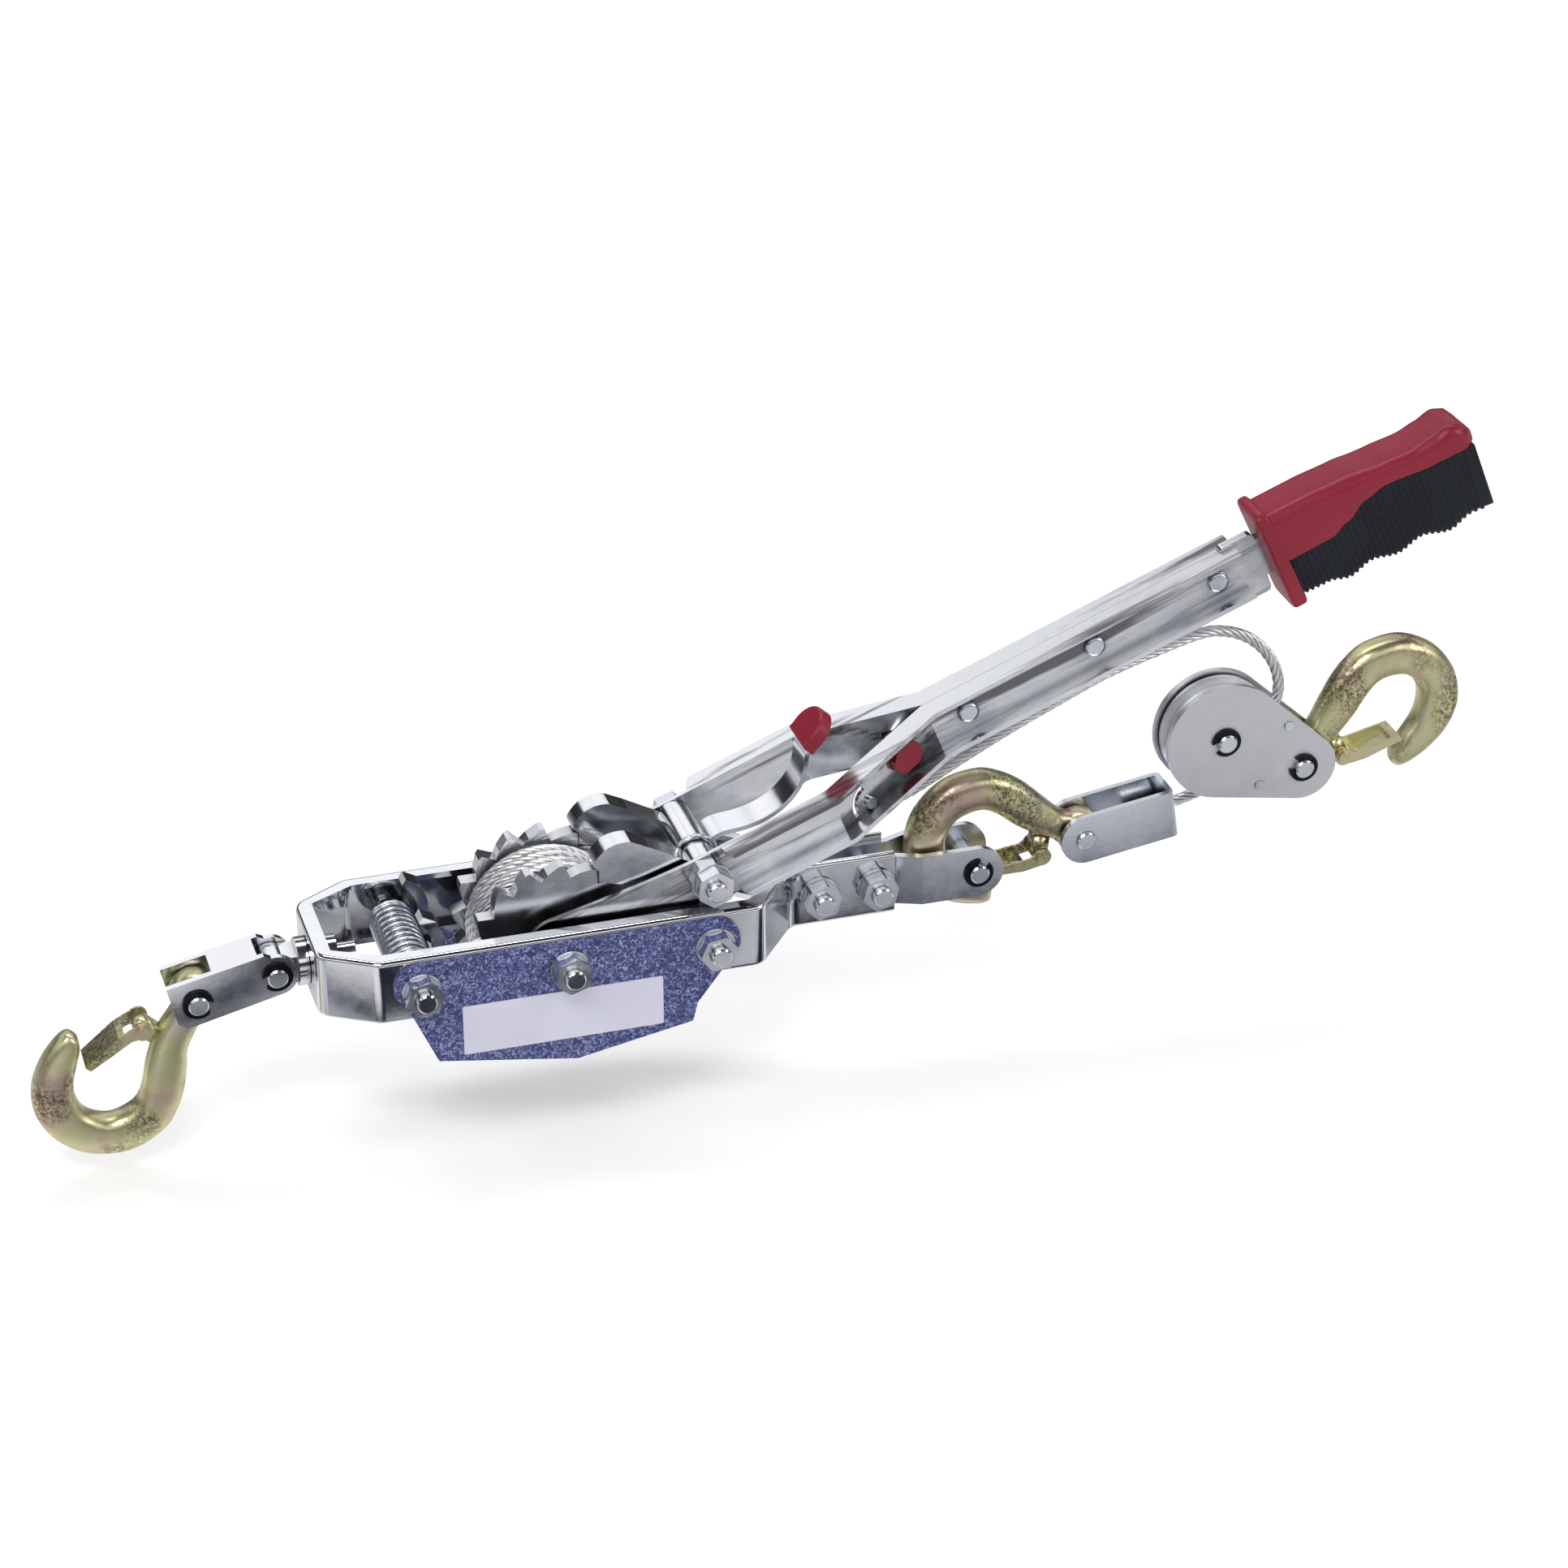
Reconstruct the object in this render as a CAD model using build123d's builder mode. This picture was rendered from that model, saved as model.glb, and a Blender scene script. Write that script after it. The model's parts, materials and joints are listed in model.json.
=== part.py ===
from build123d import *
import math
import os

# Come along winch: a steel frame with a ratchet drum, a lever handle, a wire rope
# with a pulley block, and three forged hooks.
# Frame of reference: origin at the middle of the drum axle, X along the pull
# (anchor hook at -X, pulley at +X), Y along the axle, Z up.

# ---- driving dimensions (mm, degrees) ----
BOLT_R = 5.0
BOLT_SPACING = 73.0
HOLE_R = 5.1
PLATE_T = 3.0
FRAME_END_X = -120.0
FRAME_HALF_W = 43.0
FRAME_HALF_H = 17.0
FRAME_CHAMFER_X = 27.0
FRAME_END_HALF_W = 26.5
FRAME_BEND_R = 9.0
FRAME_RIM_R = 2.2
JOG_START_X = 98.0
JOG_END_X = 122.0
NECK_END_X = 176.0
NECK_HALF_W = 12.5
LIP_W = 8.0
NECK_BOLTS_X = (136.0, 166.0)
GUARD_T = 2.0
LABEL_L = 100.0
LABEL_H = 27.0
LABEL_T = 0.3

WASHER_R = 10.0
WASHER_T = 1.6
NUT_R = 9.8
NUT_T = 8.0
SPACER_R = 8.0
THREAD_PROUD = 4.0
STACK_GAP = 0.1

TEETH = 16
TIP_R = 44.2
ROOT_R = 37.5
TIP_ANGLE = 62.5
STEEP_ANGLE = 5.5
WHEEL_IN = 15.0
WHEEL_OUT = 23.0
HUB_R = 18.5
ROPE_R = 3.0
COIL_R = 39.5
COIL_HALF_W = 13.7

HANDLE_ANGLE = 22.1
ARM_T = 2.5
ARM_IN = 28.5
ARM_LOW = -15.0
ARM_HIGH = 12.0
ARM_EYE_R = 20.0
FLANGE_W = 12.5
FLANGE_START = 92.0
BEND_1 = 150.0
BEND_2 = 213.0
FLANGE_END = 387.0
TAIL_LOW = -21.0
TAIL_HIGH = 14.0
TAIL_WIDE_END = 398.0
TANG_END = 492.0
TANG_LOW = -12.0
TANG_HIGH = 10.0
JOINED_IN = 0.1
HANDLE_RIVETS = (232.6, 303.6, 373.1)
RIVET_T = -2.0
GRIP_HALF_W = 14.5
SELECTOR_S = 193.5
SELECTOR_T = -1.5
SELECTOR_TRAVEL = 4.0
SELECTOR_ROD_R = 3.0
GUIDE_AT = (167.6, -9.2)
GUIDE_R = 9.3
GUIDE_W = 3.0
STOP_RIVET_R = 2.0
STOP_HEAD_R = 3.1

PAWL_S = 80.0
PAWL_T = 3.0
SLEEVE_R = 9.0
SLEEVE_END = 28.2
CLAW_IN = 14.0
CLAW_OUT = 26.0
LEVER_HALF_W = 9.0
LEVER_T = 2.4
CAP_LEAN = 49.0

BRACKET_T = 3.5
BRACKET_IN = 11.5
BRACKET_PIN_X = 219.5
BRACKET_PIN_Z = 0.0

PIN_R = 5.0
PIN_PROUD = 3.5
CLIP_R = 7.6
CLIP_T = 1.2
CLIP_GAP = 0.15

HOOK_HALF_T = 7.2
HOOK_EYE_R = 12.0
FORK_IN = 8.5
FORK_OUT = 11.5
LATCH_IN = 7.4
LATCH_OUT = 8.9
LATCH_U = 35.5
LATCH_V = -10.0

STUD_R = 6.0
STUD_PIN_X = -136.5
END_TILT = 192.5
END_PIN_GAP = 39.9
END_HOOK_ANGLE = 225.2
END_HOOK_LENGTH = 63.5

MID_PIN = (278.4, 7.0)
MID_TILT = 9.0
MID_LENGTH = 49.5
MID_HOOK_ANGLE = 174.0
MID_HOOK_LENGTH = 56.7

SHEAVE_AT = (352.5, 51.5)
SHEAVE_R = 29.5
GROOVE_R = 23.5
SHEAVE_HALF_W = 6.5
CHEEK_IN = 8.0
CHEEK_OUT = 11.0
BLOCK_ANGLE = -25.8
BLOCK_PIN_GAP = 48.3
BLOCK_HOOK_ANGLE = 26.6
BLOCK_HOOK_LENGTH = 57.0

HOLD_X = -BOLT_SPACING
HOLD_NOSE_ANGLE = 215.0
HOLD_REST_TURN = -8.5
HOLD_SPRING_R = 11.2
HOLD_SPRING_WIRE = 2.0
HOLD_SPRING_END = 27.5

os.makedirs("parts", exist_ok=True)


def keep(part, label):
    """Name a finished piece and write it."""
    part.label = label
    export_step(part, f"parts/{label}.step")


def side(y):
    """Plane across the winch at this Y, drawn in X and Z, extruding toward -Y."""
    return Plane.XZ.offset(-y)


def turned(x, z, y, angle):
    """Side plane whose origin is (x, z) and whose first axis is turned up from +X."""
    along = (math.cos(math.radians(angle)), 0, math.sin(math.radians(angle)))
    return Plane(origin=(x, y, z), x_dir=along, z_dir=(0, -1, 0))


def flipped(x, z, y, angle):
    """Like turned, mirrored: the second axis points the other way, extruding toward +Y."""
    along = (math.cos(math.radians(angle)), 0, math.sin(math.radians(angle)))
    return Plane(origin=(x, y, z), x_dir=along, z_dir=(0, 1, 0))


def polar(radius, angle):
    return (radius * math.cos(math.radians(angle)), radius * math.sin(math.radians(angle)))


def place(x, z, angle, along):
    """Point a distance along a direction from (x, z)."""
    dx, dz = polar(along, angle)
    return (x + dx, z + dz)


def on_handle(s, t):
    """Side point from its place along (s) and above (t) the handle's centre line."""
    x, z = place(0, 0, HANDLE_ANGLE, s)
    return place(x, z, HANDLE_ANGLE + 90, t)


PAWL_AT = on_handle(PAWL_S, PAWL_T)
END_PIN = place(STUD_PIN_X, 0, END_TILT, END_PIN_GAP)
BLOCK_PIN = place(*SHEAVE_AT, BLOCK_ANGLE, BLOCK_PIN_GAP)
END_BOWL = place(*END_PIN, END_HOOK_ANGLE, END_HOOK_LENGTH)
MID_BOWL = place(*MID_PIN, MID_HOOK_ANGLE, MID_HOOK_LENGTH)
BLOCK_BOWL = place(*BLOCK_PIN, BLOCK_HOOK_ANGLE, BLOCK_HOOK_LENGTH)


def round_bar(x, z, radius, y_low, y_high, chamfer_by=0.8):
    """Bar along Y with chamfered ends."""
    with BuildPart() as bar:
        with BuildSketch(side(y_high)):
            with Locations((x, z)):
                Circle(radius)
        extrude(amount=y_high - y_low)
        chamfer(bar.edges().filter_by(GeomType.CIRCLE), chamfer_by)
    return bar.part


def ring(x, z, outer, inner, y_low, y_high):
    """Washer, bush or tube along Y."""
    with BuildPart() as body:
        with BuildSketch(side(y_high)):
            with Locations((x, z)):
                Circle(outer)
                Circle(inner, mode=Mode.SUBTRACT)
        extrude(amount=y_high - y_low)
    return body.part


def hex_nut(x, z, y_low, y_high, turn=0):
    """Hexagon nut along Y, its corners rounded off by a cone."""
    with BuildPart() as nut:
        with BuildSketch(side(y_high)):
            with Locations((x, z)):
                RegularPolygon(NUT_R, 6, rotation=turn)
                Circle(HOLE_R, mode=Mode.SUBTRACT)
        extrude(amount=y_high - y_low)
        with BuildSketch(side(y_high)):
            with Locations((x, z)):
                Circle(NUT_R - 0.4)
        extrude(amount=y_high - y_low, mode=Mode.INTERSECT)
    return nut.part


def hex_bolt(x, z, y_low, y_high):
    """Bolt along Y with its hexagon head at the +Y end."""
    head_t = 6.5
    with BuildPart() as bolt:
        with BuildSketch(side(y_high)):
            with Locations((x, z)):
                Circle(BOLT_R)
        extrude(amount=y_high - y_low)
        chamfer(bolt.edges().filter_by(GeomType.CIRCLE).sort_by(Axis.Y)[0], 0.7)
        with BuildSketch(side(y_high + head_t)):
            with Locations((x, z)):
                RegularPolygon(NUT_R, 6, rotation=20)
        extrude(amount=head_t)
    return bolt.part


def e_clip(x, z, y_low, turn):
    """Open spring clip round a pin along Y."""
    with BuildPart() as clip:
        with BuildSketch(side(y_low + CLIP_T)):
            with Locations((x, z)):
                Circle(CLIP_R)
                Circle(PIN_R + 0.05, mode=Mode.SUBTRACT)
            gap_x, gap_z = place(x, z, turn, CLIP_R)
            with Locations(Location((gap_x, gap_z), turn)):
                Rectangle(CLIP_R, CLIP_R * 0.8, mode=Mode.SUBTRACT)
        extrude(amount=CLIP_T)
    return clip.part


def clip_pair(x, z, half_width, turn):
    """Clips outside both cheeks of a fork."""
    near = e_clip(x, z, -half_width - CLIP_GAP - CLIP_T, turn)
    far = e_clip(x, z, half_width + CLIP_GAP, turn)
    return [near, far]


def rod_through(x, z, radius, reach=80.0):
    """Round cut through everything along Y."""
    with Locations(Location((x, 0, z), (90, 0, 0))):
        Cylinder(radius, 2 * reach, mode=Mode.SUBTRACT)


# ---- frame: one bent U of plate with inward lips and a narrow neck ----
def frame_outline(inset, end_x):
    """Plan outline of the frame, moved in by an amount."""
    half = FRAME_HALF_W - inset
    neck = NECK_HALF_W - inset
    return [
        (FRAME_END_X + inset, -FRAME_END_HALF_W + 0.4 * inset),
        (FRAME_END_X + FRAME_CHAMFER_X + 0.4 * inset, -half),
        (JOG_START_X - 0.6 * inset, -half),
        (JOG_END_X - 0.6 * inset, -neck),
        (end_x, -neck),
        (end_x, neck),
        (JOG_END_X - 0.6 * inset, neck),
        (JOG_START_X - 0.6 * inset, half),
        (FRAME_END_X + FRAME_CHAMFER_X + 0.4 * inset, half),
        (FRAME_END_X + inset, FRAME_END_HALF_W - 0.4 * inset),
    ]


with BuildPart() as frame:
    with BuildSketch(Plane.XY.offset(-FRAME_HALF_H)):
        with BuildLine():
            Polyline(*frame_outline(0, NECK_END_X), close=True)
        make_face()
        bends = [v for v in vertices() if v.X < NECK_END_X - 1]
        fillet(bends, FRAME_BEND_R)
    extrude(amount=2 * FRAME_HALF_H)
    levels = frame.edges().group_by(Axis.Z)
    rims = [e for e in levels[0] + levels[-1] if e.center().X < NECK_END_X - 1]
    fillet(rims, FRAME_RIM_R)
    with BuildSketch(Plane.XY.offset(-FRAME_HALF_H + PLATE_T)):
        with BuildLine():
            Polyline(*frame_outline(PLATE_T, NECK_END_X + 5), close=True)
        make_face()
        bends = [v for v in vertices() if v.X < NECK_END_X]
        fillet(bends, FRAME_BEND_R - PLATE_T)
    extrude(amount=2 * (FRAME_HALF_H - PLATE_T), mode=Mode.SUBTRACT)
    with BuildSketch(Plane.XY.offset(-FRAME_HALF_H)):
        lip_edge = FRAME_HALF_W - LIP_W
        end_edge = FRAME_END_HALF_W - 0.4 * LIP_W
        with BuildLine():
            Polyline(
                (FRAME_END_X + LIP_W, -end_edge),
                (FRAME_END_X + FRAME_CHAMFER_X + 0.4 * LIP_W, -lip_edge),
                (JOG_START_X - 0.6 * LIP_W, -lip_edge),
                (JOG_END_X, -NECK_HALF_W + PLATE_T),
                (NECK_END_X + 5, -NECK_HALF_W + PLATE_T),
                (NECK_END_X + 5, NECK_HALF_W - PLATE_T),
                (JOG_END_X, NECK_HALF_W - PLATE_T),
                (JOG_START_X - 0.6 * LIP_W, lip_edge),
                (FRAME_END_X + FRAME_CHAMFER_X + 0.4 * LIP_W, lip_edge),
                (FRAME_END_X + LIP_W, end_edge),
                close=True,
            )
        make_face()
    extrude(amount=2 * FRAME_HALF_H, mode=Mode.SUBTRACT)
    for hole_x in (-BOLT_SPACING, 0, BOLT_SPACING, *NECK_BOLTS_X):
        rod_through(hole_x, 0, HOLE_R)
    with BuildSketch(Plane.YZ.offset(FRAME_END_X - 5)):
        Circle(STUD_R + 0.1)
    extrude(amount=20, mode=Mode.SUBTRACT)
keep(frame.part, "frame")


# ---- side guards: painted plates bolted outside the frame ----
def guard(y_low):
    """Five-sided plate with rounded top corners round the end bolts."""
    reach = BOLT_SPACING + 13
    with BuildPart() as plate:
        with BuildSketch(side(y_low + GUARD_T)):
            with BuildLine():
                Polyline(
                    (-reach, 14.5), (reach, 14.5), (reach, -2), (64, -31),
                    (61.5, -41), (3, -52), (-66, -41), (-80, -9), (-reach, -2),
                    close=True,
                )
            make_face()
            corners = vertices().group_by(Axis.Y)[-1]
            fillet(corners, 12.5)
        extrude(amount=GUARD_T)
        for bolt_x in (-BOLT_SPACING, 0, BOLT_SPACING):
            rod_through(bolt_x, 0, HOLE_R)
    return plate.part


keep(guard(-FRAME_HALF_W - GUARD_T), "guard_near")
keep(guard(FRAME_HALF_W), "guard_far")

with BuildPart() as label_plate:
    with BuildSketch(side(-FRAME_HALF_W - GUARD_T)):
        with Locations((-3.5, -26)):
            RectangleRounded(LABEL_L, LABEL_H, 1)
        Circle(WASHER_R + 1.5, mode=Mode.SUBTRACT)
    extrude(amount=LABEL_T)
keep(label_plate.part, "label_plate")

# ---- the three cross bolts and their nuts and washers ----
GUARD_OUT = FRAME_HALF_W + GUARD_T
CROSS_END = GUARD_OUT + WASHER_T + NUT_T + THREAD_PROUD
HEAD_AT = GUARD_OUT + WASHER_T
CROSS_BOLTS = {"pawl_shaft": -BOLT_SPACING, "drum_axle": 0.0, "spacer_bolt": BOLT_SPACING}
for label, bolt_x in CROSS_BOLTS.items():
    keep(hex_bolt(bolt_x, 0, -CROSS_END, HEAD_AT), label)

nuts = [
    hex_nut(x, 0, -GUARD_OUT - WASHER_T - NUT_T, -GUARD_OUT - WASHER_T, turn)
    for x, turn in ((-BOLT_SPACING, 12), (0, 18), (BOLT_SPACING, 6))
]
nuts += [
    hex_nut(x, 0, -NECK_HALF_W - WASHER_T - NUT_T, -NECK_HALF_W - WASHER_T, 15)
    for x in NECK_BOLTS_X
]
keep(Compound(children=nuts), "frame_nuts")

washers = []
for x in CROSS_BOLTS.values():
    washers.append(ring(x, 0, WASHER_R, HOLE_R, -GUARD_OUT - WASHER_T, -GUARD_OUT))
    washers.append(ring(x, 0, WASHER_R, HOLE_R, GUARD_OUT, GUARD_OUT + WASHER_T))
for x in NECK_BOLTS_X:
    washers.append(ring(x, 0, WASHER_R, HOLE_R, -NECK_HALF_W - WASHER_T, -NECK_HALF_W))
    washers.append(ring(x, 0, WASHER_R, HOLE_R, NECK_HALF_W, NECK_HALF_W + WASHER_T))
keep(Compound(children=washers), "washers")

neck_bolts = [
    hex_bolt(x, 0, -NECK_HALF_W - WASHER_T - NUT_T - THREAD_PROUD, NECK_HALF_W + WASHER_T)
    for x in NECK_BOLTS_X
]
keep(Compound(children=neck_bolts), "neck_bolts")

spacer_end = FRAME_HALF_W - PLATE_T - STACK_GAP
keep(ring(BOLT_SPACING, 0, SPACER_R, HOLE_R, -spacer_end, spacer_end), "spacer_tube")


# ---- bracket: two straps bolted in the neck, flared to hold a cross pin ----
def strap(sign):
    """Strap drawn in plan, then cut to a rounded end round the pin."""
    inner = NECK_HALF_W - PLATE_T - 0.1
    start_x = JOG_END_X + 3
    flare_x = NECK_END_X
    flat_x = NECK_END_X + 14
    end_r = 13.5
    end_x = BRACKET_PIN_X + end_r
    faces = [
        (start_x, inner), (flare_x, inner), (flat_x, BRACKET_IN + BRACKET_T),
        (end_x, BRACKET_IN + BRACKET_T), (end_x, BRACKET_IN),
        (flat_x + 1, BRACKET_IN), (flare_x + 1, inner - BRACKET_T),
        (start_x, inner - BRACKET_T),
    ]
    with BuildPart() as body:
        with BuildSketch(Plane.XY.offset(-end_r)):
            with BuildLine():
                Polyline(*[(x, sign * y) for x, y in faces], close=True)
            make_face()
        extrude(amount=2 * end_r)
        with BuildSketch(side(40)):
            with Locations(((start_x + BRACKET_PIN_X) / 2, 0)):
                Rectangle(BRACKET_PIN_X - start_x, 2 * end_r)
            with Locations((BRACKET_PIN_X, 0)):
                Circle(end_r)
        extrude(amount=80, mode=Mode.INTERSECT)
        for bolt_x in NECK_BOLTS_X:
            rod_through(bolt_x, 0, HOLE_R)
        rod_through(BRACKET_PIN_X, BRACKET_PIN_Z, PIN_R + 0.05)
    return body.part


keep(Compound(children=[strap(-1), strap(1)]), "bracket_straps")
BRACKET_OUT = BRACKET_IN + BRACKET_T
keep(
    round_bar(BRACKET_PIN_X, BRACKET_PIN_Z, PIN_R, -BRACKET_OUT - PIN_PROUD,
              BRACKET_OUT + PIN_PROUD),
    "bracket_pin",
)
keep(
    Compound(children=clip_pair(BRACKET_PIN_X, BRACKET_PIN_Z, BRACKET_OUT, 60)),
    "bracket_clips",
)


# ---- drum: hub between two ratchet wheels, with the wound rope ----
def wheel(y_high):
    """Ratchet wheel: each tooth drops steeply on its clockwise side."""
    step = 360 / TEETH
    outline = []
    for k in range(TEETH):
        tip = TIP_ANGLE + k * step
        outline.append(polar(ROOT_R, tip - STEEP_ANGLE))
        outline.append(polar(TIP_R, tip))
        outline.append(polar(TIP_R - 0.4, tip + 3))
        outline.append(polar((TIP_R + ROOT_R) / 2 - 0.6, tip + 0.5 * step))
    with BuildPart() as disc:
        with BuildSketch(side(y_high)):
            with BuildLine():
                Polyline(*outline, close=True)
            make_face()
            Circle(HOLE_R, mode=Mode.SUBTRACT)
        extrude(amount=WHEEL_OUT - WHEEL_IN)
    return disc.part


keep(wheel(-WHEEL_IN), "wheel_near")
keep(wheel(WHEEL_OUT), "wheel_far")
keep(ring(0, 0, HUB_R, HOLE_R, -WHEEL_IN + 0.05, WHEEL_IN - 0.05), "drum_hub")
keep(ring(0, 0, COIL_R, HUB_R + 0.3, -COIL_HALF_W, COIL_HALF_W), "cable_coil")


# ---- handle arms: channels that straddle the frame, then run back to back ----
def arm_path(inset):
    """Plan points of a face of the far arm, this far outside its inner face."""
    shift = 0.22 * inset
    return [(BEND_1 + shift, ARM_IN + inset), (BEND_2 + shift, JOINED_IN + inset)]


def arm_plane(t):
    """Plane in the handle's length and Y, at height t above its centre line."""
    x, z = on_handle(0, t)
    along = (math.cos(math.radians(HANDLE_ANGLE)), 0, math.sin(math.radians(HANDLE_ANGLE)))
    up = (-math.sin(math.radians(HANDLE_ANGLE)), 0, math.cos(math.radians(HANDLE_ANGLE)))
    return Plane(origin=(x, 0, z), x_dir=along, z_dir=up)


def sloping_face(s, t, sign, off):
    """Plane facing outward, off the outer face of an arm's sloping part."""
    run = BEND_2 - BEND_1
    drop = ARM_IN - JOINED_IN
    length = math.hypot(run, drop)
    face_y = ARM_IN + ARM_T - (s - BEND_1 - 0.6) * drop / run
    level = arm_plane(0)
    origin = arm_plane(t).from_local_coords((s, sign * (face_y + off), 0))
    along = level.x_dir * (run / length) + Vector(0, -sign * drop / length, 0)
    outward = level.x_dir * (drop / length) + Vector(0, sign * run / length, 0)
    return Plane(origin=origin, x_dir=along, z_dir=outward)


def handle_cut(s, t, length, width, height, y=0.0):
    """Box cut squared to the handle, centred at (s, t)."""
    x, z = on_handle(s, t)
    with Locations(Location((x, y, z), (0, -HANDLE_ANGLE, 0))):
        Box(length, width, height, mode=Mode.SUBTRACT)


def handle_arm(sign):
    """One arm, far for +1 and near for -1."""
    web_start = 60.0
    web = [(web_start, ARM_IN), *arm_path(0), (FLANGE_END + 2, JOINED_IN),
           (FLANGE_END + 2, JOINED_IN + ARM_T), *reversed(arm_path(ARM_T)),
           (web_start, ARM_IN + ARM_T)]
    flange = [(FLANGE_START, ARM_IN), *arm_path(0), (FLANGE_END, JOINED_IN),
              (FLANGE_END, JOINED_IN + FLANGE_W), *reversed(arm_path(FLANGE_W)),
              (FLANGE_START + 3, ARM_IN + FLANGE_W), (FLANGE_START, ARM_IN + ARM_T + 3)]
    y_plate = ARM_IN + ARM_T if sign > 0 else -ARM_IN
    y_tail = JOINED_IN + ARM_T if sign > 0 else -JOINED_IN
    with BuildPart() as arm:
        with BuildSketch(arm_plane(ARM_LOW)):
            with BuildLine():
                Polyline(*[(s, sign * y) for s, y in web], close=True)
            make_face()
        extrude(amount=ARM_HIGH - ARM_LOW)
        for height in (ARM_LOW, ARM_HIGH - ARM_T):
            with BuildSketch(arm_plane(height)):
                with BuildLine():
                    Polyline(*[(s, sign * y) for s, y in flange], close=True)
                make_face()
            extrude(amount=ARM_T)
        handle_cut(web_start + 8, ARM_LOW, 44, 200, 30)
        with BuildSketch(turned(0, 0, y_plate, HANDLE_ANGLE)):
            Circle(ARM_EYE_R)
            with BuildLine():
                Polyline((0, ARM_EYE_R), (53, 13.6), (82, ARM_HIGH - 0.4),
                         (FLANGE_START + 8, ARM_HIGH), (FLANGE_START + 8, ARM_LOW),
                         (FLANGE_START, ARM_LOW), (70, -16), (0, -ARM_EYE_R), close=True)
            make_face()
        extrude(amount=ARM_T)
        with BuildSketch(turned(0, 0, y_tail, HANDLE_ANGLE)):
            with Locations(((FLANGE_END + TAIL_WIDE_END) / 2 - 4, (TAIL_LOW + TAIL_HIGH) / 2)):
                RectangleRounded(TAIL_WIDE_END - FLANGE_END + 8, TAIL_HIGH - TAIL_LOW, 3)
            with Locations(((FLANGE_END + TANG_END) / 2, (TANG_LOW + TANG_HIGH) / 2)):
                Rectangle(TANG_END - FLANGE_END, TANG_HIGH - TANG_LOW)
        extrude(amount=ARM_T)
        rod_through(0, 0, HOLE_R)
        rod_through(*PAWL_AT, HOLE_R)
        for rivet_s in HANDLE_RIVETS:
            rod_through(*on_handle(rivet_s, RIVET_T), 3.05)
        slot_middle = SELECTOR_S + SELECTOR_TRAVEL / 2
        slot_length = 2 * SELECTOR_ROD_R + SELECTOR_TRAVEL + 1
        handle_cut(slot_middle, SELECTOR_T, slot_length, 60, 2 * SELECTOR_ROD_R + 0.6)
        if sign < 0:
            with BuildSketch(sloping_face(*GUIDE_AT, sign, 0)):
                with BuildLine():
                    CenterArc((0, 0), GUIDE_R, 90, 100)
                trace(line_width=GUIDE_W)
                Circle(STOP_RIVET_R + 0.05)
            extrude(amount=2 * ARM_T, both=True, mode=Mode.SUBTRACT)
    return arm.part


keep(handle_arm(-1), "handle_arm_near")
keep(handle_arm(1), "handle_arm_far")

rivets = []
RIVET_OUT = JOINED_IN + ARM_T
for rivet_s in HANDLE_RIVETS:
    with BuildPart() as rivet:
        rivet_at = on_handle(rivet_s, RIVET_T)
        with BuildSketch(side(RIVET_OUT + 0.05)):
            with Locations(rivet_at):
                Circle(3.0)
        extrude(amount=2 * RIVET_OUT + 0.1)
        for y_head in (RIVET_OUT + 2.6, -RIVET_OUT - 0.05):
            with BuildSketch(side(y_head)):
                with Locations(rivet_at):
                    Circle(5.5)
            extrude(amount=2.55)
        fillet(rivet.edges().filter_by(GeomType.CIRCLE).sort_by(Axis.Y)[0], 1.8)
        fillet(rivet.edges().filter_by(GeomType.CIRCLE).sort_by(Axis.Y)[-1], 1.8)
    rivets.append(rivet.part)
with BuildPart() as stop_rivet:
    with BuildSketch(sloping_face(*GUIDE_AT, -1, 0.1)):
        Circle(STOP_HEAD_R)
    extrude(amount=2)
    with BuildSketch(sloping_face(*GUIDE_AT, -1, 0.1)):
        Circle(STOP_RIVET_R)
    extrude(amount=-ARM_T - 0.3)
    with BuildSketch(sloping_face(*GUIDE_AT, -1, -ARM_T - 0.3)):
        Circle(STOP_HEAD_R)
    extrude(amount=-1)
rivets.append(stop_rivet.part)
keep(Compound(children=rivets), "handle_rivets")


# ---- selector: a rod through a slot in both arms with a cap outside each ----
def selector_cap(sign):
    """Eight-sided cap lying just off the sloping face of its arm."""
    half_l = 8.5
    half_h = 6.5
    cut = 3.5
    thick = 4.0
    gap = 0.5
    with BuildPart() as cap:
        with BuildSketch(sloping_face(SELECTOR_S, SELECTOR_T, sign, gap)):
            Rectangle(2 * half_l, 2 * half_h)
            chamfer(vertices(), cut)
        extrude(amount=thick)
    return cap.part


keep(Compound(children=[selector_cap(-1), selector_cap(1)]), "selector_caps")
rod_end = 10.7
keep(round_bar(*on_handle(SELECTOR_S, SELECTOR_T), SELECTOR_ROD_R, -rod_end, rod_end, 0.5),
     "selector_rod")


# ---- grip: hard shell over the top and front, ribbed rubber underneath ----
def tail_pocket():
    """Slot for the two joined arm tangs."""
    width = 2 * (JOINED_IN + ARM_T + 0.3)
    middle = (TAIL_WIDE_END + TANG_END) / 2
    length = TANG_END - TAIL_WIDE_END + 3
    handle_cut(middle, (TANG_LOW + TANG_HIGH) / 2, length, width, TANG_HIGH - TANG_LOW + 0.6)


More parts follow.
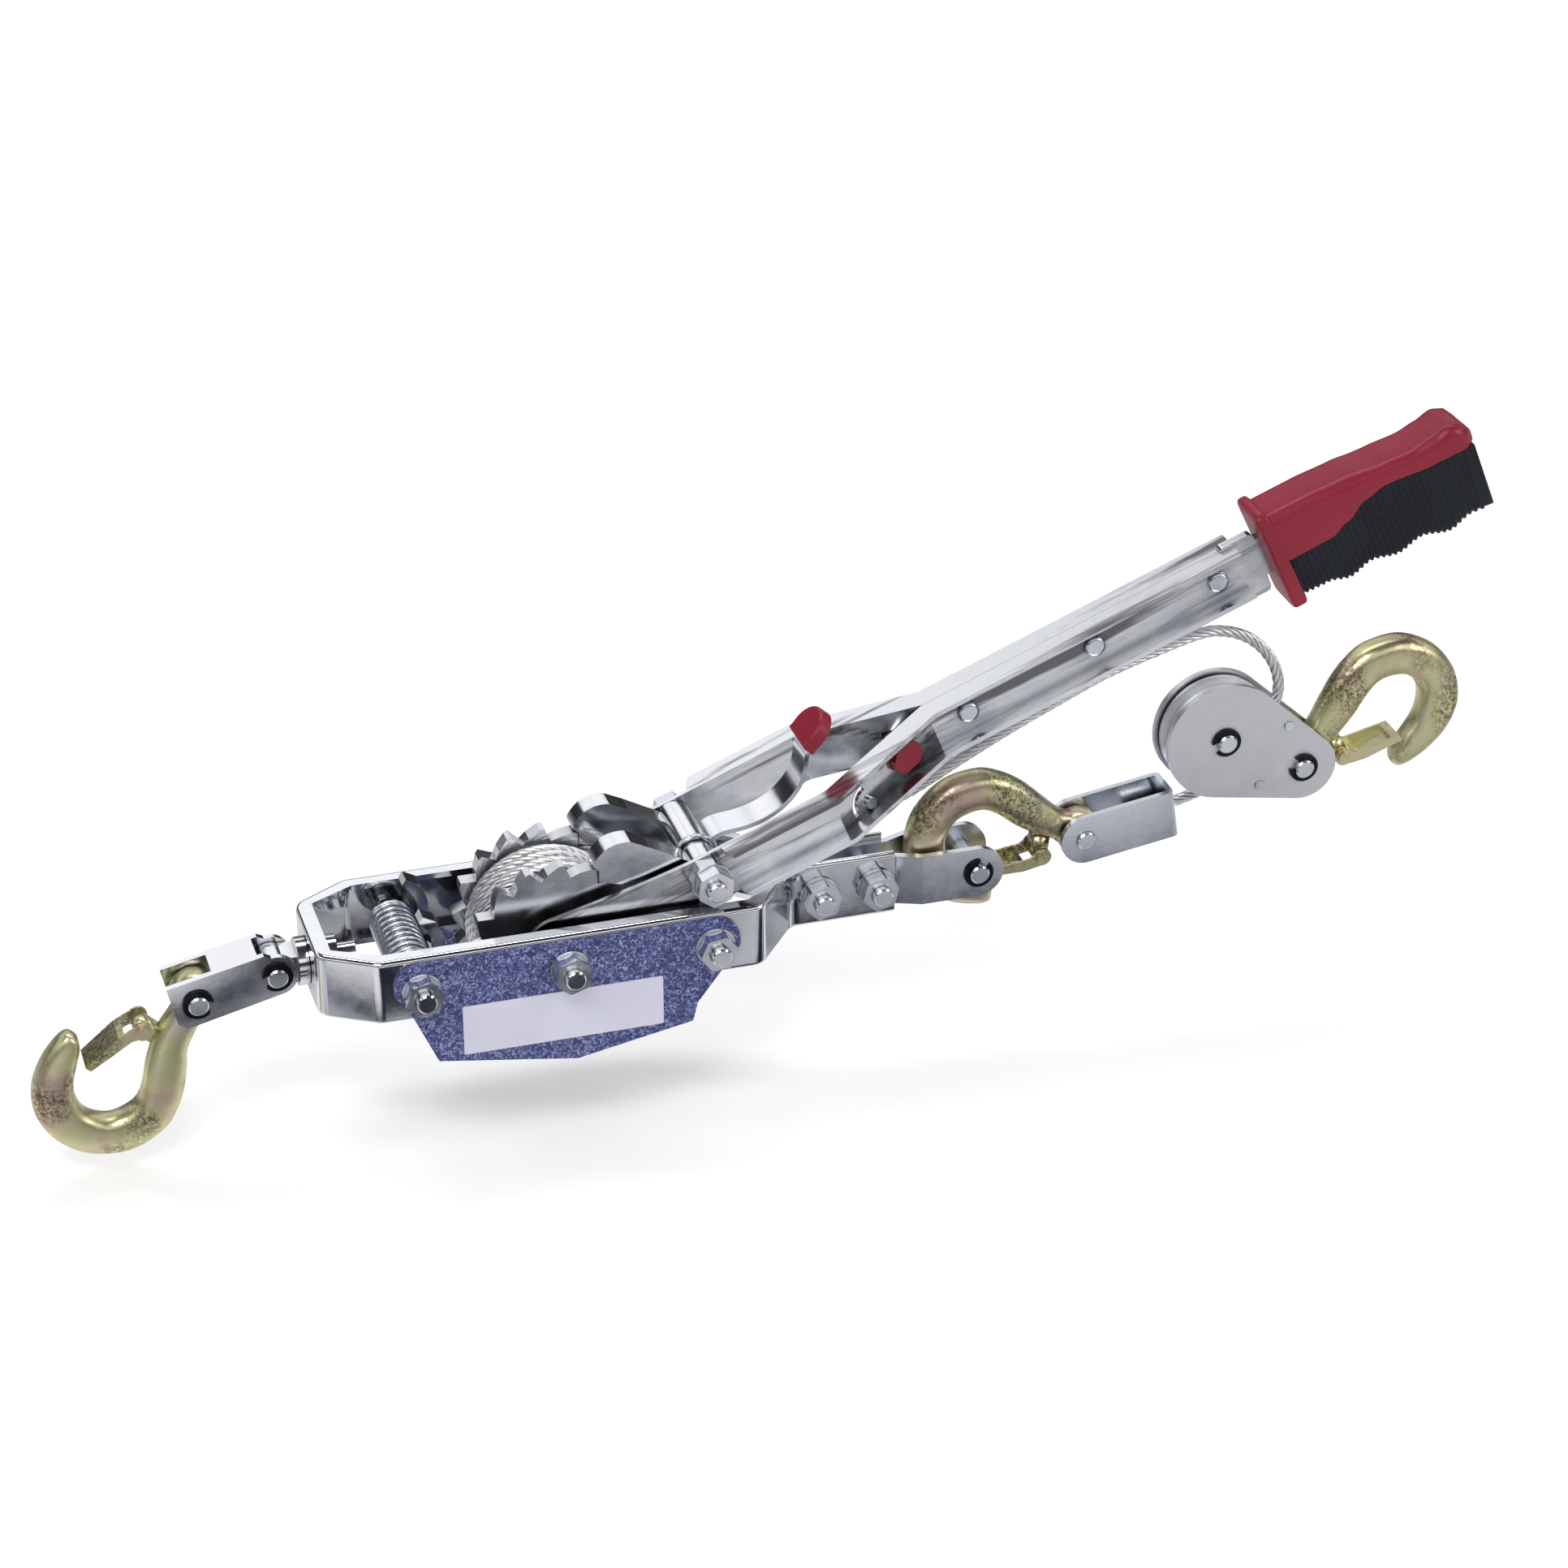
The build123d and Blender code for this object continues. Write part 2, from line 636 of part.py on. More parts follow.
with BuildPart() as grip_shell:
    with BuildSketch(turned(0, 0, GRIP_HALF_W, HANDLE_ANGLE)):
        with BuildLine():
            Polyline((409, -3.4), (411, -28.5), (408.5, -31.8), (403.6, -31.2), (399.2, 24.5),
                     (401, 27.2), (405, 27.2), (408.5, 24.2))
            Spline((408.5, 24.2), (430, 24.4), (449, 23.3), (470, 20.6), (487.8, 19.2),
                   (498, 20.9), (506.9, 22.9), (514.8, 20), (519.2, 12), (518, 6.9))
            Spline((518, 6.9), (493.9, 7.4), (465.3, 10.0), (454.9, 7.8), (442.7, 1.3),
                   (432.9, -2.9), (409, -3.4))
        make_face()
    extrude(amount=2 * GRIP_HALF_W)
    tail_pocket()
keep(grip_shell.part, "grip_shell")

with BuildPart() as grip_rubber:
    rubber_half_w = GRIP_HALF_W - 0.5
    with BuildSketch(turned(0, 0, rubber_half_w, HANDLE_ANGLE)):
        with BuildLine():
            Spline((516.8, 6.2), (493.9, 6.7), (465.3, 9.3), (454.9, 7.1), (442.7, 0.6),
                   (432.9, -3.6), (409.6, -4.1))
            Line((409.6, -4.1), (411.6, -27.4))
            Spline((411.6, -27.4), (424, -28.2), (436, -31.6), (448, -28.4), (463, -32.3),
                   (477, -29.6), (492, -34.4), (504, -31.2), (516.5, -32.6))
            Spline((516.5, -32.6), (517.6, -30.6), (514.4, -18.8), (514, -7.7), (516.8, 6.2))
        make_face()
    extrude(amount=2 * rubber_half_w)
    tail_pocket()
keep(grip_rubber.part, "grip_rubber")


# ---- drive pawl: two claws on one sleeve, a thumb lever and its cap ----
with BuildPart() as drive_pawl:
    with BuildSketch(side(SLEEVE_END)):
        with Locations(PAWL_AT):
            Circle(SLEEVE_R)
    extrude(amount=2 * SLEEVE_END)
    for y_high in (CLAW_OUT, -CLAW_IN):
        with BuildSketch(side(y_high)):
            with BuildLine():
                Polyline((20.7, 33.6), (20.7, 39.9), (17.6, 42.7), (17.9, 44.2))
                Spline((17.9, 44.2), (20.8, 48.2), (24.2, 51.2), (29.9, 53.4), (36.5, 53.4))
                Polyline((36.5, 53.4), (46, 48.8), (65, 38.4), PAWL_AT, (67, 25.6),
                         (52, 27.2), (35, 29.9), (20.7, 33.6))
            make_face()
        extrude(amount=CLAW_OUT - CLAW_IN)
    rod_through(*PAWL_AT, HOLE_R)
keep(drive_pawl.part, "drive_pawl")

with BuildPart() as pawl_lever:
    with BuildSketch(side(LEVER_HALF_W)):
        with BuildLine():
            Spline((81.6, 37.6), (86, 40.2), (95, 41.6), (104.5, 43.4), (116, 48.8),
                   (125.2, 57.7), (129.6, 67.4), (130.8, 76.2), (133.4, 83))
        trace(line_width=LEVER_T)
    extrude(amount=2 * LEVER_HALF_W)
    with BuildSketch(side(LEVER_HALF_W)):
        with Locations(PAWL_AT):
            Circle(SLEEVE_R + 0.05)
    extrude(amount=2 * LEVER_HALF_W, mode=Mode.SUBTRACT)
keep(pawl_lever.part, "pawl_lever")

with BuildPart() as lever_cap:
    cap_half_w = 12.0
    cap_length = 19.0
    cap_t = 7.0
    cap_x, cap_z = (130.2, 81.2)
    lean_x, lean_z = polar(1, CAP_LEAN)
    cap_plane = Plane(origin=(cap_x, 0, cap_z), x_dir=(lean_x, 0, lean_z),
                      z_dir=(-lean_z, 0, lean_x))
    with BuildSketch(cap_plane.offset(-cap_t / 2)):
        with BuildLine():
            Polyline((0, -cap_half_w), (0, cap_half_w), (4, cap_half_w))
            ThreePointArc((4, cap_half_w), (cap_length, 0), (4, -cap_half_w))
            Line((4, -cap_half_w), (0, -cap_half_w))
        make_face()
    extrude(amount=cap_t)
    fillet(lever_cap.edges().group_by(Axis((0, 0, 0), (-lean_z, 0, lean_x)))[-1], 1.5)
    with BuildSketch(side(LEVER_HALF_W + 0.1)):
        with BuildLine():
            Spline((116, 48.8), (125.2, 57.7), (129.6, 67.4), (130.8, 76.2), (133.4, 83.1))
        trace(line_width=LEVER_T + 0.2)
    extrude(amount=2 * LEVER_HALF_W + 0.2, mode=Mode.SUBTRACT)
keep(lever_cap.part, "lever_cap")

keep(ring(*PAWL_AT, SLEEVE_R + 2.3, SLEEVE_R + 0.2, -13.6, -9.4), "drive_pawl_spring")

inner_nut_y = -ARM_IN - ARM_T - STACK_GAP
pawl_washer_y = inner_nut_y - NUT_T - STACK_GAP
outer_nut_y = pawl_washer_y - WASHER_T - STACK_GAP
pawl_bolt_end = outer_nut_y - NUT_T - THREAD_PROUD
keep(hex_bolt(*PAWL_AT, pawl_bolt_end, ARM_IN + ARM_T + STACK_GAP), "pawl_bolt")
pawl_nuts = [
    hex_nut(*PAWL_AT, inner_nut_y - NUT_T, inner_nut_y, 10),
    ring(*PAWL_AT, WASHER_R, HOLE_R, pawl_washer_y - WASHER_T, pawl_washer_y),
    hex_nut(*PAWL_AT, outer_nut_y - NUT_T, outer_nut_y, 25),
]
keep(Compound(children=pawl_nuts), "pawl_bolt_nuts")

# ---- holding pawl: two ears on the shaft, a cross web and two fingers ----
with BuildPart() as hold_pawl:
    nose_x, nose_z = polar(ROOT_R + 1.2, HOLD_NOSE_ANGLE)
    reach = math.hypot(nose_x - HOLD_X, nose_z)
    pawl_angle = math.degrees(math.atan2(nose_z, nose_x - HOLD_X)) + HOLD_REST_TURN
    web_start = 12.0
    ear_r = 8.5
    ear_t = 3.0
    ear_out = 32.0
    finger_t = 9.0
    for y_high in (ear_out, -ear_out + ear_t):
        with BuildSketch(turned(HOLD_X, 0, y_high, pawl_angle)):
            Circle(ear_r)
            with Locations((web_start / 2 + 2, -2.2)):
                Rectangle(web_start + 4, 10)
        extrude(amount=ear_t)
    with BuildSketch(turned(HOLD_X, 0, ear_out, pawl_angle)):
        with Locations((web_start + 2, -2)):
            Rectangle(4, 10.5)
    extrude(amount=2 * ear_out)
    for y_high in (WHEEL_OUT + 0.5, -WHEEL_IN + 0.5):
        with BuildSketch(turned(HOLD_X, 0, y_high, pawl_angle)):
            with BuildLine():
                Polyline((web_start, 3.2), (reach - 13.5, 0.6), (reach, 0), (reach - 0.6, -2),
                         (reach - 13, -8), (web_start, -7.2), close=True)
            make_face()
        extrude(amount=finger_t)
        with BuildSketch(side(y_high)):
            with BuildLine():
                Polyline((-61.5, -6), (-56.5, -4), (-56, 14), (-60, 24), (-66.5, 27.5),
                         (-68.5, 24.5), (-63.6, 19), (-61, 12), close=True)
            make_face()
        extrude(amount=finger_t)
    rod_through(HOLD_X, 0, HOLE_R)
keep(hold_pawl.part, "hold_pawl")

keep(
    ring(HOLD_X, 0, HOLD_SPRING_R, HOLD_SPRING_R - HOLD_SPRING_WIRE, -HOLD_SPRING_END,
         HOLD_SPRING_END),
    "hold_pawl_spring",
)

# ---- spacers on the drum axle, inside and outside the handle's eyes ----
eye_in = ARM_IN - STACK_GAP
eye_out = ARM_IN + ARM_T + STACK_GAP
axle_spacers = []
for low, high in ((WHEEL_OUT + STACK_GAP, eye_in), (eye_out, spacer_end)):
    axle_spacers.append(ring(0, 0, SPACER_R, HOLE_R, low, high))
    axle_spacers.append(ring(0, 0, SPACER_R, HOLE_R, -high, -low))
keep(Compound(children=axle_spacers), "axle_spacers")


# ---- forged hooks with sheet latches ----
def hook(bowl, angle, length, sweep_clockwise):
    """Hook drawn from its bowl centre, eye at a distance along the first axis."""
    make_plane = flipped if sweep_clockwise else turned
    y_start = -HOOK_HALF_T if sweep_clockwise else HOOK_HALF_T
    with BuildPart() as body:
        with BuildSketch(make_plane(*bowl, y_start, angle)):
            with BuildLine():
                Line((length, HOOK_EYE_R), (length - 8, 12.2))
                Spline((length - 8, 12.2), (length - 15, 13.9), (33, 21.4), (22, 29.6),
                       (0, 36.8), (-26, 25.8), (-36.6, 0), (-26.5, -27.0), (-8, -36), (7, -38))
                ThreePointArc((7, -38), (14.6, -35.2), (12.4, -28.6))
                Spline((12.4, -28.6), (1.7, -20.8), (-11.4, -11.6), (-15.5, 0), (-10.9, 11),
                       (0, 15.5), (10.9, 11), (25, 3.7), (length - 12, -3.5))
                Line((length - 12, -3.5), (length, -HOOK_EYE_R))
                ThreePointArc((length, -HOOK_EYE_R), (length + HOOK_EYE_R, 0),
                              (length, HOOK_EYE_R))
            make_face()
            with Locations((length, 0)):
                Circle(PIN_R + 0.06, mode=Mode.SUBTRACT)
        extrude(amount=2 * HOOK_HALF_T)
        lug_half_t = 5.0
        lug_y = -lug_half_t if sweep_clockwise else lug_half_t
        with BuildSketch(make_plane(*bowl, lug_y, angle)):
            with Locations((LATCH_U, LATCH_V + 7)):
                Rectangle(9, 16)
            with Locations((LATCH_U, LATCH_V)):
                Circle(4.5)
        extrude(amount=2 * lug_half_t)
        rims = body.edges().group_by(Axis.Y)
        fillet(rims[0] + rims[-1], 2.0)
        rivet_x, rivet_z = latch_pivot(bowl, angle, sweep_clockwise)
        rod_through(rivet_x, rivet_z, 2.05)
    return body.part


def latch_pivot(bowl, angle, sweep_clockwise):
    """Place of the latch rivet of a hook."""
    x, z = place(*bowl, angle, LATCH_U)
    return place(x, z, angle + 90, -LATCH_V if sweep_clockwise else LATCH_V)


def latch(bowl, angle, sweep_clockwise):
    """Folded sheet latch from the rivet to the hook's point."""
    make_plane = flipped if sweep_clockwise else turned
    sense = -1 if sweep_clockwise else 1
    tip = (4.6, -17.2)
    with BuildPart() as body:
        with BuildSketch(make_plane(*bowl, sense * LATCH_OUT, angle)):
            with BuildLine():
                Polyline((LATCH_U, LATCH_V - 4.6), (26, -17.6), (tip[0] - 0.2, tip[1] - 2.6),
                         (tip[0], tip[1] + 0.6), (LATCH_U - 7, LATCH_V - 1),
                         (LATCH_U, LATCH_V + 4.6), close=True)
            make_face()
            with Locations((LATCH_U, LATCH_V)):
                Circle(4.6)
        extrude(amount=2 * LATCH_OUT)
        with BuildSketch(make_plane(*bowl, sense * LATCH_IN, angle)):
            with BuildLine():
                Polyline((LATCH_U + 9, LATCH_V - 9), (LATCH_U - 2, LATCH_V - 7.2), (26, -16.1),
                         (tip[0] + 4, tip[1] - 1.0), (tip[0] + 4, tip[1] + 9),
                         (LATCH_U + 9, LATCH_V + 9), close=True)
            make_face()
        extrude(amount=2 * LATCH_IN, mode=Mode.SUBTRACT)
        rod_through(*latch_pivot(bowl, angle, sweep_clockwise), 2.1)
    return body.part


def latch_rivet(bowl, angle, sweep_clockwise):
    """Headed rivet through the latch and the hook's lug."""
    x, z = latch_pivot(bowl, angle, sweep_clockwise)
    with BuildPart() as body:
        with BuildSketch(side(LATCH_OUT + 0.1)):
            with Locations((x, z)):
                Circle(2.0)
        extrude(amount=2 * LATCH_OUT + 0.2)
        for y_head in (LATCH_OUT + 1.6, -LATCH_OUT - 0.1):
            with BuildSketch(side(y_head)):
                with Locations((x, z)):
                    Circle(3.4)
            extrude(amount=1.5)
    return body.part


HOOKS = {
    "end": (END_BOWL, END_HOOK_ANGLE - 180, END_HOOK_LENGTH, True),
    "mid": (MID_BOWL, MID_HOOK_ANGLE - 180, MID_HOOK_LENGTH, False),
    "pulley": (BLOCK_BOWL, BLOCK_HOOK_ANGLE - 180, BLOCK_HOOK_LENGTH, True),
}
for label, (bowl, angle, length, clockwise) in HOOKS.items():
    keep(hook(bowl, angle, length, clockwise), f"{label}_hook")
    keep(latch(bowl, angle, clockwise), f"{label}_latch")
    keep(latch_rivet(bowl, angle, clockwise), f"{label}_latch_rivet")

# ---- anchor end: swivel stud, folded fork and its pins ----
COLLAR_X = FRAME_END_X - 0.3
with BuildPart() as swivel_stud:
    with BuildSketch(Plane.YZ.offset(COLLAR_X - 5)):
        Circle(12)
    extrude(amount=5)
    with BuildSketch(Plane.YZ.offset(COLLAR_X)):
        Circle(STUD_R)
    extrude(amount=24)
    with BuildSketch(side(FORK_IN - 0.5)):
        with Locations((STUD_PIN_X, 0)):
            Circle(8.0)
        with Locations(((STUD_PIN_X + COLLAR_X - 4) / 2, 0)):
            Rectangle(COLLAR_X - 4 - STUD_PIN_X, 14)
    extrude(amount=2 * FORK_IN - 1)
    rod_through(STUD_PIN_X, 0, PIN_R + 0.06)
keep(swivel_stud.part, "swivel_stud")

with BuildPart() as swivel_nut:
    nut_x = FRAME_END_X + PLATE_T + 0.3
    with BuildSketch(Plane.YZ.offset(nut_x)):
        Circle(11)
        Circle(STUD_R + 0.05, mode=Mode.SUBTRACT)
    extrude(amount=11)
    chamfer(swivel_nut.edges().filter_by(GeomType.CIRCLE).sort_by(Axis.X)[-1], 1.5)
keep(swivel_nut.part, "swivel_nut")

with BuildPart() as end_clevis:
    fork_half_h = 11.5
    fork_top = 13.0
    fork_start = -9.5
    fork_end = END_PIN_GAP + 12
    with BuildSketch(flipped(STUD_PIN_X, 0, -FORK_OUT, END_TILT)):
        with BuildLine():
            Polyline((0, 10.5), (3, fork_top), (fork_end, fork_top),
                     (fork_end, -fork_half_h + 4), (fork_end - 4, -fork_half_h),
                     (0, -10.5))
            ThreePointArc((0, -10.5), (-10.5, 0), (0, 10.5))
        make_face()
    extrude(amount=2 * FORK_OUT)
    with BuildSketch(flipped(STUD_PIN_X, 0, -FORK_IN, END_TILT)):
        with Locations(((fork_end + fork_start) / 2, fork_top - PLATE_T - 15)):
            Rectangle(fork_end - fork_start + 12, 30)
    extrude(amount=2 * FORK_IN, mode=Mode.SUBTRACT)
    with BuildSketch(flipped(STUD_PIN_X, 0, -FORK_IN + 0.5, END_TILT)):
        with Locations((fork_end - 8, fork_top)):
            Rectangle(30, 12)
        with Locations((-2, fork_top)):
            Rectangle(16, 12)
    extrude(amount=2 * FORK_IN - 1, mode=Mode.SUBTRACT)
    rod_through(STUD_PIN_X, 0, PIN_R + 0.05)
    rod_through(*END_PIN, PIN_R + 0.05)
keep(end_clevis.part, "end_clevis")

keep(round_bar(STUD_PIN_X, 0, PIN_R, -FORK_OUT - PIN_PROUD, FORK_OUT + PIN_PROUD), "end_stud_pin")
keep(round_bar(*END_PIN, PIN_R, -FORK_OUT - PIN_PROUD, FORK_OUT + PIN_PROUD), "end_hook_pin")
end_clips = clip_pair(STUD_PIN_X, 0, FORK_OUT, 200) + clip_pair(*END_PIN, FORK_OUT, -20)
keep(Compound(children=end_clips), "end_clips")

# ---- rope end: strap fork, its pin and the swaged ferrule ----
with BuildPart() as mid_clevis:
    mid_half_h = 13.0
    with BuildSketch(turned(*MID_PIN, FORK_OUT, MID_TILT)):
        Circle(mid_half_h)
        with Locations((MID_LENGTH / 2, 0)):
            Rectangle(MID_LENGTH, 2 * mid_half_h)
    extrude(amount=2 * FORK_OUT)
    with BuildSketch(turned(*MID_PIN, FORK_IN, MID_TILT)):
        with Locations((MID_LENGTH / 2 - 10 - PLATE_T, 0)):
            Rectangle(MID_LENGTH + 20, 2 * mid_half_h + 4)
    extrude(amount=2 * FORK_IN, mode=Mode.SUBTRACT)
    rod_through(*MID_PIN, PIN_R + 0.05)
    hole_at = place(*MID_PIN, MID_TILT, MID_LENGTH - 10)
    hole_axis = (math.cos(math.radians(MID_TILT)), 0, math.sin(math.radians(MID_TILT)))
    with BuildSketch(Plane(origin=(hole_at[0], 0, hole_at[1]), z_dir=hole_axis)):
        Circle(ROPE_R + 0.6)
    extrude(amount=20, mode=Mode.SUBTRACT)
    corner_edges = mid_clevis.edges().filter_by(Axis((0, 0, 0), (-hole_axis[2], 0, hole_axis[0])))
    fillet(corner_edges.sort_by(Axis.X)[-2:], 3)
keep(mid_clevis.part, "mid_clevis")
keep(round_bar(*MID_PIN, PIN_R, -FORK_OUT - 2.0, FORK_OUT + 2.0), "mid_clevis_pin")

with BuildPart() as cable_ferrule:
    ferrule_l = 18.0
    start = place(*MID_PIN, MID_TILT, MID_LENGTH - PLATE_T - ferrule_l - 0.3)
    with BuildSketch(Plane(origin=(start[0], 0, start[1]), z_dir=hole_axis)):
        Circle(6.0)
    extrude(amount=ferrule_l)
    chamfer(cable_ferrule.edges().filter_by(GeomType.CIRCLE), 1.0)
keep(cable_ferrule.part, "cable_ferrule")

# ---- free rope: from the drum, under the handle, round the sheave to the ferrule ----
with BuildPart() as cable_run:
    rope_turn_r = GROOVE_R + ROPE_R + 0.25
    rope_start = place(*MID_PIN, MID_TILT, MID_LENGTH + 0.4)
    leave_angle = -78.0
    enter_angle = 2.0
    low = polar(rope_turn_r, leave_angle)
    mid_turn = polar(rope_turn_r, (leave_angle + enter_angle) / 2)
    high = polar(rope_turn_r, enter_angle)
    sheave_x, sheave_z = SHEAVE_AT
    low_3d = (sheave_x + low[0], 0, sheave_z + low[1])
    high_3d = (sheave_x + high[0], 0, sheave_z + high[1])
    low_dir = (math.cos(math.radians(leave_angle + 90)), 0, math.sin(math.radians(leave_angle + 90)))
    high_dir = (math.cos(math.radians(enter_angle + 90)), 0, math.sin(math.radians(enter_angle + 90)))
    with BuildLine() as rope_line:
        Spline((rope_start[0], 0, rope_start[1]), low_3d, tangents=[hole_axis, low_dir])
        ThreePointArc(low_3d, (sheave_x + mid_turn[0], 0, sheave_z + mid_turn[1]), high_3d)
        FilletPolyline(
            high_3d, (379.0, 0, 58), (384.6, 0, 70), (381.5, 0, 86), (370, 0, 101),
            (354, 0, 109.5), (340, 0, 110), (290, 0, 94.5), (238, 0, 70.5), (188, 0, 44),
            (128, 0, 21), (75, 0, 15.2), (44, 0, 18.5), (26, 0, 35.5),
            radius=11,
        )
    with BuildSketch(Plane(origin=rope_line.line @ 0, z_dir=rope_line.line % 0)):
        Circle(ROPE_R)
    sweep(path=rope_line.line)
keep(cable_run.part, "cable_run")

# ---- pulley block ----
SPACER_PLACES = [
    place(*place(*SHEAVE_AT, BLOCK_ANGLE, 29.0), BLOCK_ANGLE + 90, 18.6),
    place(*place(*SHEAVE_AT, BLOCK_ANGLE, 30.0), BLOCK_ANGLE + 90, -16.4),
]


def cheek(y_high):
    """Teardrop plate round the sheave and the hook pin."""
    with BuildPart() as plate:
        with BuildSketch(turned(*SHEAVE_AT, y_high, BLOCK_ANGLE)):
            with BuildSketch(mode=Mode.PRIVATE) as rounds:
                Circle(31.5)
                with Locations((BLOCK_PIN_GAP, 0)):
                    Circle(18)
            make_hull(rounds.edges())
        extrude(amount=CHEEK_OUT - CHEEK_IN)
        rod_through(*SHEAVE_AT, PIN_R + 0.05)
        rod_through(*BLOCK_PIN, PIN_R + 0.05)
        for spot in SPACER_PLACES:
            rod_through(*spot, 2.55)
    return plate.part


keep(Compound(children=[cheek(-CHEEK_IN), cheek(CHEEK_OUT)]), "pulley_cheeks")

with BuildPart() as sheave:
    with BuildSketch(Plane.XY.offset(SHEAVE_AT[1])):
        with BuildLine():
            x0 = SHEAVE_AT[0]
            Polyline(
                (x0 + PIN_R + 0.06, -SHEAVE_HALF_W), (x0 + SHEAVE_R, -SHEAVE_HALF_W),
                (x0 + SHEAVE_R, -ROPE_R - 1.4), (x0 + GROOVE_R + ROPE_R, -ROPE_R - 0.3),
            )
            ThreePointArc((x0 + GROOVE_R + ROPE_R, -ROPE_R - 0.3), (x0 + GROOVE_R, 0),
                          (x0 + GROOVE_R + ROPE_R, ROPE_R + 0.3))
            Polyline(
                (x0 + GROOVE_R + ROPE_R, ROPE_R + 0.3), (x0 + SHEAVE_R, ROPE_R + 1.4),
                (x0 + SHEAVE_R, SHEAVE_HALF_W), (x0 + PIN_R + 0.06, SHEAVE_HALF_W),
                (x0 + PIN_R + 0.06, -SHEAVE_HALF_W),
            )
        make_face()
    revolve(axis=Axis((SHEAVE_AT[0], 0, SHEAVE_AT[1]), (0, 1, 0)))
keep(sheave.part, "sheave")

keep(round_bar(*SHEAVE_AT, PIN_R, -CHEEK_OUT - PIN_PROUD, CHEEK_OUT + PIN_PROUD), "sheave_pin")
keep(round_bar(*BLOCK_PIN, PIN_R, -CHEEK_OUT - PIN_PROUD, CHEEK_OUT + PIN_PROUD), "pulley_hook_pin")
block_clips = clip_pair(*SHEAVE_AT, CHEEK_OUT, 205) + clip_pair(*BLOCK_PIN, CHEEK_OUT, 155)
keep(Compound(children=block_clips), "pulley_clips")

spacers = []
for spot in SPACER_PLACES:
    with BuildPart() as spacer:
        with BuildSketch(side(CHEEK_OUT + 1)):
            with Locations(spot):
                Circle(2.5)
        extrude(amount=2 * CHEEK_OUT + 2)
    spacers.append(spacer.part)
keep(Compound(children=spacers), "pulley_spacers")
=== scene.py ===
import bmesh
import bpy
import json
import math
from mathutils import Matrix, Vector


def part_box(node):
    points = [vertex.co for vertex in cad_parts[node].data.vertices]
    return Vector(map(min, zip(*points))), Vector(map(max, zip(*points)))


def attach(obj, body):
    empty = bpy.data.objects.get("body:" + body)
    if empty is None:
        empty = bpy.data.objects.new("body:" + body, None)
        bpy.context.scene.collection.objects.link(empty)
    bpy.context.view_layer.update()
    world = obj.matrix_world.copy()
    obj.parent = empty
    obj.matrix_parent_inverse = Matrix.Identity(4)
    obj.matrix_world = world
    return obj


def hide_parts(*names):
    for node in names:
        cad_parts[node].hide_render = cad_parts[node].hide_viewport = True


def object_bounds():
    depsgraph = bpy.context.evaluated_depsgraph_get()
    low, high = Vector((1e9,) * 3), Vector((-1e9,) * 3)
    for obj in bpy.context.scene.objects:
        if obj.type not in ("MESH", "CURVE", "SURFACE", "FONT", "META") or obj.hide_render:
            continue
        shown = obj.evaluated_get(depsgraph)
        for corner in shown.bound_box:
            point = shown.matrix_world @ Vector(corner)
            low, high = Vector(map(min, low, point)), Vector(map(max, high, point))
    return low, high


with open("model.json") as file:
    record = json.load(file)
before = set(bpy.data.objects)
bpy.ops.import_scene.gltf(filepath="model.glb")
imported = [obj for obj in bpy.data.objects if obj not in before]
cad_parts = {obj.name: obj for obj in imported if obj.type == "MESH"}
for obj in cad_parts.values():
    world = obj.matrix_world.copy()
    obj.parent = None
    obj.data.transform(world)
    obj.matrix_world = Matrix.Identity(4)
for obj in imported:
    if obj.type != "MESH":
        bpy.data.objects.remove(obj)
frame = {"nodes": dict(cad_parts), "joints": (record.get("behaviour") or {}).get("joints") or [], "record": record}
START_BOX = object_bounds()
NODES = frame["nodes"]
MM = 0.001
HANDLE_TURN = math.radians(22.1)      # how far the handle rises above level


# ---------------------------------------------------------------- helpers
def rad(deg):
    return math.radians(deg)


def joint_of(name):
    for joint in frame["joints"]:
        if joint["name"] == name:
            return joint
    raise KeyError(name)


def pivot(name):
    """A point on a joint's axis."""
    return Vector(joint_of(name)["pos_m"])


def middle(node):
    """Centre of a CAD node's box."""
    low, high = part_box(node)
    return (Vector(low) + Vector(high)) / 2


def mesh_object(name, verts, faces, smooth=True):
    """A new mesh; smooth ones also get their normals turned outwards."""
    mesh = bpy.data.meshes.new(name)
    mesh.from_pydata([tuple(v) for v in verts], [], faces)
    mesh.update()
    obj = bpy.data.objects.new(name, mesh)
    bpy.context.collection.objects.link(obj)
    if smooth:
        shells = bmesh.new()
        shells.from_mesh(mesh)
        bmesh.ops.recalc_face_normals(shells, faces=shells.faces)
        shells.to_mesh(mesh)
        shells.free()
        for poly in mesh.polygons:
            poly.use_smooth = True
    return obj


def join_data(parts):
    """Several (verts, faces) lists as one."""
    verts = []
    faces = []
    for part_verts, part_faces in parts:
        base = len(verts)
        verts.extend(part_verts)
        faces.extend([tuple(i + base for i in face) for face in part_faces])
    return verts, faces


def loft(rings, closed=False):
    """Skin rings of equal point counts into a shell, capped or joined end to end."""
    count = len(rings[0])
    verts = [p for ring in rings for p in ring]
    faces = []
    spans = len(rings) if closed else len(rings) - 1
    for i in range(spans):
        a = i * count
        b = ((i + 1) % len(rings)) * count
        for j in range(count):
            k = (j + 1) % count
            faces.append((a + j, a + k, b + k, b + j))
    if not closed:
        faces.append(tuple(reversed(range(count))))
        last = (len(rings) - 1) * count
        faces.append(tuple(last + j for j in range(count)))
    return verts, faces


